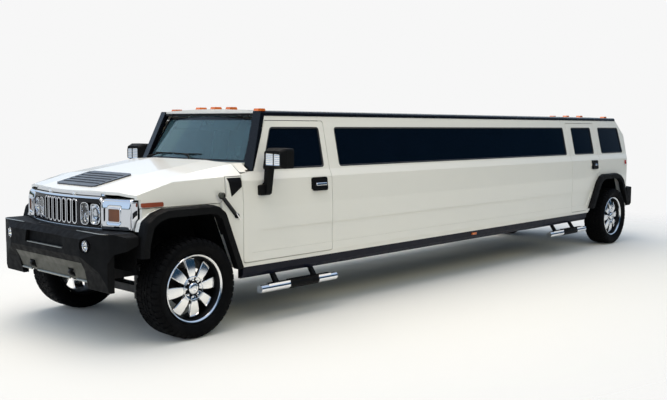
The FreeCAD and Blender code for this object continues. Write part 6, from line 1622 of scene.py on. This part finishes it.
@dataclass
class Ends:
    """Trim at the two ends: pale strips that paint the front bumper's edge highlights, tow hooks, tail lamp
    details and the tailgate's small parts.
    """

    bodywork: Bodywork
    wall: SideWall
    face: float = 4.959
    tail: float = -4.751
    lamp: tuple[float, float, float, float] = (0.697, 0.829, 1.007, 1.333)

    def front(self) -> None:
        """Adds pale strips on the front bumper's top edge and recess and a pale lip under the skid plate,
        which paint the highlights on those edges, and the tow hooks.
        """
        for side in Side:
            sign = side.value
            # Pale strip along the bumper's top edge: painted highlight.
            strip = [(self.face - inset, y * sign, z) for inset, y, z in (
                (0.06, 0.45, 0.9585), (0.06, 0.6, 0.9585), (0.061, 0.77, 0.958), (0.092, 0.872, 0.956))]
            Draft().tube(strip, [0.004, 0.0065, 0.0065, 0.004], 10, 0.6).piece(
                f"bumper_top_strip_{side.word}", Palette.ALLOY, crease=60.0)
            hook = [(x, 0.33 * sign, z) for x, z in ((4.78, 0.573), (4.872, 0.573), (4.9, 0.582),
                (4.908, 0.596), (4.9, 0.61), (4.872, 0.618), (4.78, 0.618))]
            Draft().tube(hook, 0.012, 12).piece(f"tow_hook_{side.word}", Palette.CHASSIS, crease=60.0)
        # Pale strip along the bumper's recess: painted highlight.
        Draft().slab((self.face - 0.03, -0.298, 0.7985), (self.face - 0.001, 0.298, 0.807)).piece(
            "bumper_recess_strip", Palette.ALLOY, bevel=0.002)
        # Pale lip along the skid plate's foot: a rolled lip whose paleness paints its highlight.
        lip = Draft()
        for start, stop in ((-0.552, -0.384), (-0.276, 0.276), (0.384, 0.552)):
            lip.tube([(4.866, y, 0.538) for y in (start, (start + stop) / 2, stop)], 0.01, 12)
        lip.piece("skid_plate_lip", Palette.ALLOY, crease=60.0)

    def tail_lamp(self, side: Side) -> None:
        """Adds a tail lamp's bezel, cells and clear middle, and the marker round the corner.

        Args:
            side: Which side.
        """
        sign, word = side.value, side.word
        inner, outer, low, high = self.lamp
        inside, outside = (inner + 0.01) * sign, (outer - 0.01) * sign
        outline = rounded(rectangle(inner * sign, outer * sign, low, high), 0.014)
        bezel = Draft()
        rings = [bezel.ring(Vector((self.tail - proud, y, z)) for y, z in Glazing.inset(outline, inset))
            for inset, proud in ((-0.01, 0.0), (-0.009, 0.012), (-0.003, 0.017), (0.003, 0.016),
            (0.003, 0.0))]
        bezel.bridge(rings + rings[:1])
        bezel.piece(f"tail_lamp_bezel_{word}", Palette.BRIGHT, crease=50.0)
        cells = Draft()
        for height in (1.116, 1.224):
            cells.slab((self.tail - 0.0175, (inner + 0.005) * sign, height - 0.003),
                (self.tail - 0.0135, (outer - 0.005) * sign, height + 0.003))
        cells.piece(f"tail_lamp_dividers_{word}", Palette.GLOSS_BLACK, bevel=0.0008)
        for name, finish, start, stop in (("mirror", Palette.BRIGHT, 0.0136, 0.0148),
                ("lens", Palette.LENS, 0.015, 0.0168)):
            pane = Draft().slab((self.tail - stop, inside, 1.122), (self.tail - start, outside, 1.218))
            pane.piece(f"reversing_lamp_{name}_{word}", finish, bevel=0.0005)
        ribs = Draft()
        count, half_rib = 9, 0.003
        for bottom, top in ((1.02, 1.108), (1.232, 1.322)):
            for index in range(count):
                z = bottom + (top - bottom) * (index + 0.5) / count
                ribs.slab((self.tail - 0.016, inside, z - half_rib), (self.tail - 0.013, outside,
                    z + half_rib))
        ribs.piece(f"tail_lamp_ribs_{word}", Palette.RED, bevel=0.001)
        Flank(self.wall, side).bar(f"corner_marker_{word}", "body", rectangle(-4.636, -4.592, 1.24, 1.3),
            (0.0, 0.009), Palette.RED)

    def tailgate(self) -> None:
        """Adds the tailgate's handle, high lamp and wiper, and the bumper's step tread."""
        lid, tail = "tailgate_lid", self.tail
        frame = Draft().prism(rounded(rectangle(-0.13, 0.13, 1.0, 1.08), 0.018), "YZ", tail - 0.014,
            tail + 0.001)
        frame.piece("tailgate_handle_frame", Palette.MOULDING, lid, bevel=0.004)
        grip = Draft().prism(rounded(rectangle(-0.095, 0.095, 1.03, 1.058), 0.01), "YZ", tail - 0.032,
            tail - 0.012)
        grip.piece("tailgate_handle_grip", Palette.BRIGHT, lid, bevel=0.006)
        top = self.bodywork.touch(("tailgate",), (-6.0, 0.0, 1.85), (1.0, 0.0, 0.0))
        if top is not None:
            Draft().slab((top.x - 0.014, -0.17, 1.838), (top.x + 0.006, 0.17, 1.862)).piece(
                "high_brake_lamp", Palette.RED, lid, bevel=0.004)
        arm = [(tail, 0.1, 1.37), (tail - 0.018, 0.1, 1.37), (tail - 0.022, 0.0, 1.4),
            (tail - 0.004, -0.12, 1.436)]
        wiper = Draft().tube(arm, [0.014, 0.012, 0.008, 0.005], 12)
        wiper.tube([(tail + 0.003, y, z) for y, z in ((-0.34, 1.436), (-0.12, 1.438), (0.1, 1.436))], 0.005,
            8)
        wiper.piece("rear_wiper", Palette.MOULDING, lid, crease=50.0)
        tread = Draft()
        for index in range(6):
            x = -4.935 + 0.028 * index
            tread.slab((x, -0.46, 0.8565), (x + 0.013, 0.46, 0.862))
        tread.piece("rear_step_tread", Palette.SEAL, bevel=0.0015)

    def build(self) -> None:
        """Builds the trim of both ends."""
        self.front()
        for side in Side:
            self.tail_lamp(side)
        self.tailgate()


@dataclass
class Underbody:
    """Springs, dampers and pipes under the floor.

    Attributes:
        leaf: Width and thickness of a spring's leaf.
        leaves: Half lengths of the leaves, from the top.
        leaf_place: The leaves' distance from the middle, and the top one's height.
        camber: How much the leaves curve up.
        coil: The coil's distance from the middle, foot, radius, rise in a step and wire.
        coil_steps: Steps of the coil, twelve to a turn.
        pipes: Each pipe's distance from the middle.
    """

    leaf: Flat = (0.07, 0.008)
    leaves: tuple[float, ...] = (0.62, 0.5, 0.38, 0.25)
    leaf_place: Flat = (0.49, 0.507)
    camber: float = 0.16
    coil: tuple[float, float, float, float, float] = (0.54, 0.35, 0.04, 0.0028, 0.0065)
    coil_steps: int = 72
    pipes: tuple[tuple[str, float], ...] = (("fuel_pipe", 0.315), ("brake_pipe", 0.29))

    def build(self) -> None:
        """Builds the running gear's small parts."""
        for side in Side:
            sign, word = side.value, side.word
            out, foot, radius, rise, wire = self.coil
            turns = [step * math.pi / 6 for step in range(self.coil_steps + 1)]
            coil = [(FRONT_AXLE_X + radius * math.cos(turn), (out + radius * math.sin(turn)) * sign,
                foot + rise * step) for step, turn in enumerate(turns)]
            Draft().tube(coil, wire, 8).piece(f"front_spring_{word}", Palette.CHASSIS, crease=60.0)
            rod = [(FRONT_AXLE_X, out * sign, z) for z in (0.33, 0.45, 0.4502, 0.59)]
            Draft().tube(rod, [0.024, 0.024, 0.012, 0.012], 16).piece(f"front_damper_{word}", Palette.IRON)
            pack = Draft()
            for layer, reach in enumerate(self.leaves):
                path = []
                for step in range(13):
                    along = (step / 6 - 1) * reach
                    top = self.leaf_place[1] + self.camber * along ** 2
                    path.append((REAR_AXLE_X + along, top - layer * (self.leaf[1] + 0.001)))
                low = [(x, z - self.leaf[1]) for x, z in reversed(path)]
                near = self.leaf_place[0]
                pack.prism(path + low, "XZ", near * sign, (near + self.leaf[0]) * sign)
            for along in (-0.05, 0.05):
                pack.tube([(REAR_AXLE_X + along, y * sign, z) for y, z in (
                    (0.484, 0.43), (0.484, 0.516), (0.525, 0.52), (0.566, 0.516), (0.566, 0.43))], 0.007, 8)
            pack.piece(f"rear_leaf_spring_{word}", Palette.CHASSIS, bevel=0.001)
        for name, y in self.pipes:
            Draft().tube([(3.3, y, 0.592), (0.0, y, 0.59), (-3.6, y, 0.592)], 0.005, 8).piece(
                name, Palette.EXHAUST, crease=60.0)


@dataclass
class Cabin:
    """The dashboard's instruments and vents, and the doors' inner cards."""

    bodywork: Bodywork
    low: Flat = (3.06, 1.12)
    slope: float = 0.236

    def on(self, y: float, height: float, off: float = 0.0) -> Point:
        """A point on the dashboard's face, or off it towards the seats."""
        return (self.low[0] + (height - self.low[1]) * self.slope - off, y, height)

    def panel(self, name: str, finish: Finish, box: tuple[float, float, float, float], off: Flat,
            bevel: float = 0.003) -> None:
        """Builds a raised panel on the dashboard's face.

        Args:
            name: Its name.
            finish: Its finish.
            box: Where it starts and ends across, and its heights.
            off: Where it starts and ends off the face.
            bevel: Width of its softened edges.
        """
        draft = Draft()
        outline = rounded(rectangle(*box), 0.012)
        draft.loft([draft.ring(Vector(self.on(y, z, reach)) for y, z in outline) for reach in off])
        draft.piece(name, finish, bevel=bevel)

    def dashboard(self) -> None:
        """Builds the instruments, the radio panel and the air vents."""
        self.panel("instrument_panel", Palette.GLOSS_BLACK, (0.235, 0.565, 1.19, 1.32), (0.0, 0.01))
        self.panel("radio_panel", Palette.GLOSS_BLACK, (-0.105, 0.105, 1.13, 1.25), (0.0, 0.012))
        self.panel("glovebox_lid", Palette.LINING, (-0.64, -0.21, 1.125, 1.235), (0.0, 0.01), 0.006)
        dials = Draft()
        for y, radius in ((0.325, 0.05), (0.475, 0.05), (0.4, 0.022)):
            x, _, z = self.on(y, 1.255, 0.011)
            dials.turned([(0.0, radius - 0.004), (-0.006, radius - 0.003), (-0.006, radius),
                (0.0, radius + 0.001)], (x, y, z), 32, "X")
        for y in (-0.08, 0.0, 0.08):
            x, _, z = self.on(y, 1.155, 0.012)
            dials.turned([(0.0, 0.016), (-0.014, 0.014), (-0.018, 0.01), (-0.018, 0.0)], (x, y, z), 24, "X")
        dials.piece("dial_rings_and_knobs", Palette.BRIGHT)
        vents = Draft()
        for y in (-0.72, -0.15, 0.15, 0.72):
            for index in range(5):
                x, _, z = self.on(y, 1.285 + index * 0.012, 0.004)
                vents.slab((x - 0.006, y - 0.055, z - 0.0015), (x + 0.012, y + 0.055, z + 0.0015))
        vents.piece("air_vents", Palette.GLOSS_BLACK, bevel=0.0005)

    def door_cards(self) -> None:
        """Lines the inside of the four doors, with an arm rest and a pull on each."""
        for side in Side:
            sign, word = side.value, side.word
            for end, span in (("front", (2.42, 3.2)), ("rear", (-3.56, -3.0))):
                body = f"{end}_door_body_{word}"
                middle = sum(span) / 2
                found = self.bodywork.touch((f"{end}_door_{word}",), (middle, 0.0, 1.0), (0.0, sign, 0.0))
                if found is None:
                    continue
                skin = found.y
                outline = rounded(rectangle(*span, 0.69, 1.23), 0.04)
                card = Draft().prism(outline, "XZ", skin + 0.001 * sign, skin - 0.008 * sign)
                card.piece(f"{end}_door_card_{word}", Palette.LINING, body, bevel=0.003)
                outline = rounded([(middle - 0.2, 0.975), (middle + 0.22, 0.995), (middle + 0.22, 1.04),
                    (middle - 0.2, 1.03)], 0.02)
                rest = Draft().prism(outline, "XZ", skin - 0.007 * sign, skin - 0.04 * sign)
                rest.piece(f"{end}_door_arm_rest_{word}", Palette.LEATHER, body, bevel=0.012, steps=4)

    def build(self) -> None:
        """Builds the cabin's small parts."""
        self.dashboard()
        self.door_cards()


@dataclass(frozen=True)
class Pad:
    """One stuffed form in its own frame: X along it, Y across it, Z out of its crowned face.

    Attributes:
        name: What it is for.
        size: Its length, width and thickness before stuffing.
        radius: Rounding of its edges.
        channels: Sewn channels along it.
        cells: Rows of its mesh each way.
        rounds: Levels of subdivision.
    """

    name: str
    size: Point
    radius: float
    channels: int
    cells: int
    rounds: int = 0


@dataclass(frozen=True)
class Placed:
    """A pad's place on the vehicle: its middle, and where its X and Y point."""

    name: str
    middle: Point
    along: Point
    across: Point
    narrow: float = 1.0


@dataclass
class Upholstery:
    """Leather cushions stuffed by cloth simulation, on their bases."""

    floor: float = 0.6346
    base_top: float = 0.8
    front_x: float = 2.999
    rear_x: float = -3.879
    seat_y: float = 0.4
    depth: float = 0.5
    back_foot: float = 0.61
    lean: Flat = (-0.1905, 0.9817)
    shell: float = 0.026
    bench: Flat = (-2.729, 1.949)
    bench_wall: float = -0.863
    bench_count: int = 7
    cap: float = 0.022
    frames: int = 20
    pressure: float = 4.0
    tuck: float = 0.01

    seat: Pad = Pad("seat", (0.485, 0.515, 0.14), 0.045, 4, 16, 1)
    back: Pad = Pad("back", (0.5, 0.505, 0.072), 0.03, 4, 16, 1)
    rest: Pad = Pad("rest", (0.12, 0.25, 0.072), 0.032, 0, 10, 1)
    long_seat: Pad = Pad("long_seat", (0.4, 0.64, 0.135), 0.042, 4, 20)
    long_back: Pad = Pad("long_back", (0.4, 0.64, 0.09), 0.036, 4, 20)

    def form(self, pad: Pad) -> Piece:
        """Makes a pad's unstuffed mesh.

        Args:
            pad: Which pad.

        Returns:
            A scratch object with the mesh.
        """
        drawn = bmesh.new()
        bmesh.ops.create_cube(drawn, size=1.0)
        bmesh.ops.subdivide_edges(drawn, edges=drawn.edges[:], cuts=pad.cells - 1, use_grid_fill=True)
        for corner in drawn.verts:
            place = Vector(part * size for part, size in zip(corner.co, pad.size))
            core = Vector(max(-size / 2 + pad.radius, min(size / 2 - pad.radius, part))
                for part, size in zip(place, pad.size))
            out = place - core
            corner.co = core + out.normalized() * pad.radius if out.length > 1e-9 else place
        data = bpy.data.meshes.new(f"{pad.name}_form")
        drawn.to_mesh(data)
        drawn.free()
        made = bpy.data.objects.new(f"{pad.name}_form", data)
        bpy.context.scene.collection.objects.link(made)
        return made

    def stuffed(self, pads: Sequence[Pad]) -> dict[str, tuple[list[Vector], list[Vector],
            list[tuple[int, ...]]]]:
        """Stuffs the pads all at once.

        Args:
            pads: The pads.

        Returns:
            For each pad its corners before and after, and its faces.
        """
        forms = [self.form(pad) for pad in pads]
        scene = bpy.context.scene
        for form in forms:
            stuffing = form.modifiers.new("stuffing", "CLOTH")
            cloth = stuffing.settings
            cloth.quality = 5
            cloth.mass = 0.3
            cloth.tension_stiffness = cloth.compression_stiffness = 12.0
            cloth.shear_stiffness = 4.0
            cloth.bending_stiffness = 0.4
            cloth.use_pressure = True
            cloth.uniform_pressure_force = self.pressure
            cloth.effector_weights.gravity = 0.0
            stuffing.collision_settings.use_collision = False
            stuffing.point_cache.frame_start, stuffing.point_cache.frame_end = 1, self.frames
        for frame in range(1, self.frames + 1):
            scene.frame_set(frame)
        graph = bpy.context.evaluated_depsgraph_get()
        results = {}
        for pad, form in zip(pads, forms):
            before = [corner.co.copy() for corner in form.data.vertices]
            swollen = [corner.co.copy() for corner in form.evaluated_get(graph).data.vertices]
            after = []
            for start, end in zip(before, swollen):
                move = end - start
                if move.length > self.cap:
                    move = move.normalized() * self.cap
                place = start + move
                place.z = max(place.z, -pad.size[2] / 2)
                after.append(self.tucked(pad, start, place))
            results[pad.name] = (before, after, [tuple(face.vertices) for face in form.data.polygons])
            bpy.data.objects.remove(form)
        scene.frame_set(1)
        return results

    def tucked(self, pad: Pad, start: Vector, place: Vector) -> Vector:
        """Draws a corner in where a channel is sewn through the crowned face.

        Args:
            pad: The pad.
            start: The corner before stuffing.
            place: The corner after stuffing.

        Returns:
            The corner after sewing.
        """
        if not pad.channels or start.z < pad.size[2] * 0.3:
            return place
        cell = pad.size[1] / pad.cells
        every = pad.cells / pad.channels
        column = start.y / cell + pad.cells / 2
        near = abs(column / every - round(column / every)) * every
        edge = abs(start.y) > pad.size[1] / 2 - cell
        depth = 0.0 if edge else self.tuck * max(0.0, 1.0 - near)
        return place - Vector((0.0, 0.0, depth))

    def cushion(self, pad: Pad, placed: Placed, results: dict, piping: Draft) -> Piece:
        """Lays one stuffed pad in its place and draws its piping.

        Args:
            pad: The pad.
            placed: Its place.
            results: The stuffed pads.
            piping: Where its piping is drawn.

        Returns:
            The cushion.
        """
        before, after, faces = results[pad.name]
        along, across = Vector(placed.along).normalized(), Vector(placed.across).normalized()
        out = along.cross(across)
        turn = Matrix((along, across, out)).transposed()
        places = [turn @ Vector((p.x, p.y * placed.narrow, p.z)) + Vector(placed.middle) for p in after]
        draft = Draft()
        corners = draft.ring(places)
        for face in faces:
            draft.mesh.faces.new([corners[index] for index in face])
        made = draft.piece(placed.name, Palette.LEATHER, rounds=pad.rounds, crease=80.0)
        size, radius = pad.size, pad.radius
        near = 1e-4
        level = max(p.z for p in before if p.z <= size[2] / 2 - radius + near)
        reach = 0.9 * Vector((size[0] / 2 - radius * 0.3, size[1] / 2 - radius * 0.3)).length
        rim = [index for index, p in enumerate(before) if abs(p.z - level) < near
            and (abs(p.x) > size[0] / 2 - near or abs(p.y) > size[1] / 2 - near
            or Vector((p.x, p.y)).length > reach)]
        rim.sort(key=lambda index: math.atan2(before[index].y / size[1], before[index].x / size[0]))
        path = [tuple(places[index]) for index in rim]
        piping.tube(path + path[:1], 0.0045, 6)
        return made

    def bases(self) -> None:
        """Builds the seat bases and shells, and the benches' plinths."""
        floor, top, wall = self.floor, self.base_top, self.bench_wall
        rear_end, foot = self.depth + 0.08, self.back_foot
        for side in Side:
            x, y = self.front_x, self.seat_y * side.value
            base = Draft()
            for low, high, narrow in ((floor + 0.055, top, 0.0), (floor + 0.02, floor + 0.055, 0.03)):
                base.slab((x - rear_end, y - 0.245 + narrow, low), (x - 0.02, y + 0.245 - narrow, high))
            for rail in (y - 0.18, y + 0.18):
                base.slab((x - 0.56, rail - 0.02, floor), (x - 0.01, rail + 0.02, floor + 0.022))
            made = base.piece(f"front_seat_base_{side.word}", Palette.LINING, bevel=0.012, steps=3)
            if side is Side.LEFT:
                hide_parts("front_seats")
            self.back_shell(f"front_seat_shell_{side.word}", x - foot, y - 0.255, y + 0.255, 0.6)
            posts = Draft()
            for post in (y - 0.06, y + 0.06):
                posts.tube([self.on_back(x - foot, post, reach, 0.055) for reach in (0.5, 0.6)], 0.006, 12)
            posts.piece(f"head_rest_posts_{side.word}", Palette.BRIGHT)
        start, stop = self.bench
        plinth = Draft().slab((start, wall, floor + 0.06), (stop, -0.372, top))
        plinth.slab((start + 0.01, wall, floor), (stop - 0.01, -0.412, floor + 0.06))
        plinth.slab((start, wall, top), (stop, wall + 0.022, 1.325))
        made = plinth.piece("bench_plinth", Palette.CABINET, bevel=0.006)
        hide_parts("saloon_bench")
        rear, half = self.rear_x, 0.445
        base = Draft().slab((rear - rear_end, -half, floor), (rear - 0.02, half, top))
        base.piece("rear_bench_base", Palette.CABINET, bevel=0.006)
        self.back_shell("rear_bench_shell", rear - foot, -half, half, 0.68)

    def on_back(self, foot: float, y: float, reach: float, out: float) -> Point:
        """A point on a leaning back: its foot's X, how far up it, and how far in front of its rear face."""
        up, ahead = self.lean[1], -self.lean[0]
        return (foot + self.lean[0] * reach + up * out, y, self.floor + 0.27 + up * reach + ahead * out)

    def back_shell(self, name: str, foot: float, low_y: float, high_y: float, reach: float) -> None:
        """Builds the moulded shell behind a leaning back.

        Args:
            name: Its name.
            foot: X of its foot.
            low_y: Where it starts across the car.
            high_y: Where it ends.
            reach: Its length up the back.
        """
        outline = []
        for along, out in ((0.0, 0.0), (reach, 0.0), (reach, self.shell), (0.0, self.shell)):
            x, _, z = self.on_back(foot, 0.0, along, out)
            outline.append((x, z))
        Draft().prism(outline, "XZ", low_y, high_y).piece(name, Palette.LINING, bevel=0.01, steps=3)

    def build(self) -> None:
        """Stuffs the pads and seats them all."""
        self.bases()
        kinds = (self.seat, self.back, self.rest, self.long_seat, self.long_back)
        results = self.stuffed(kinds)
        forward, up = (1.0, 0.0, 0.0), (self.lean[0], 0.0, self.lean[1])
        across, back_across = (0.0, 1.0, 0.0), (0.0, -1.0, 0.0)
        piping = Draft()
        middle_z = self.base_top + self.seat.size[2] / 2
        out = self.shell + self.back.size[2] / 2
        rows = [(f"front_seat_{{}}_{side.word}", self.front_x, self.seat_y * side.value, 1.0)
            for side in Side]
        rows += [(f"rear_bench_{{}}_{side.word}", self.rear_x, 0.222 * side.value, 0.84) for side in Side]
        for name, x, y, narrow in rows:
            foot = x - self.back_foot
            for pad, placed in ((self.seat, Placed(name.format("cushion"), (x - 0.262, y, middle_z),
                    forward, across, narrow)), (self.back, Placed(name.format("back"),
                    self.on_back(foot, y, 0.3, out), up, back_across, narrow)),
                    (self.rest, Placed(name.format("head_rest"), self.on_back(foot, y, 0.63, out), up,
                    back_across))):
                self.cushion(pad, placed, results, piping)
        length = (self.bench[1] - self.bench[0]) / self.bench_count
        top = self.base_top + self.long_seat.size[2] / 2
        for index in range(self.bench_count):
            x = self.bench[0] + length * (index + 0.5)
            for pad, placed in ((self.long_seat, Placed(f"bench_cushion_{index + 1}",
                    (x, self.bench_wall + 0.32, top), across, (-1.0, 0.0, 0.0))),
                    (self.long_back, Placed(f"bench_back_{index + 1}", (x, self.bench_wall + 0.072, 1.15),
                    (0.0, -0.06, 1.0), forward))):
                self.cushion(pad, placed, results, piping)
        piping.piece("seat_piping", Palette.PIPING, crease=60.0)
        LOG.info("seats stuffed")


def main() -> None:
    """Builds the dressed vehicle in its studio."""
    logging.basicConfig(level=logging.INFO, format="%(message)s")
    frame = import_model()
    Studio().build()
    Coachwork().dress(frame["nodes"])
    bodywork = Bodywork(frame["nodes"])
    wall = SideWall()
    for end in End:
        for side in Side:
            tyre = Tyre(side, end)
            tyre.build()
            Rim(tyre).build()
    FrontLamps().build()
    Glazing(wall).build()
    Nose().build()
    for side in Side:
        Flank(wall, side).build()
    Windscreen(bodywork).build()
    Ends(bodywork, wall).build()
    Underbody().build()
    Cabin(bodywork).build()
    Upholstery().build()


if __name__ == "__main__":
    main()
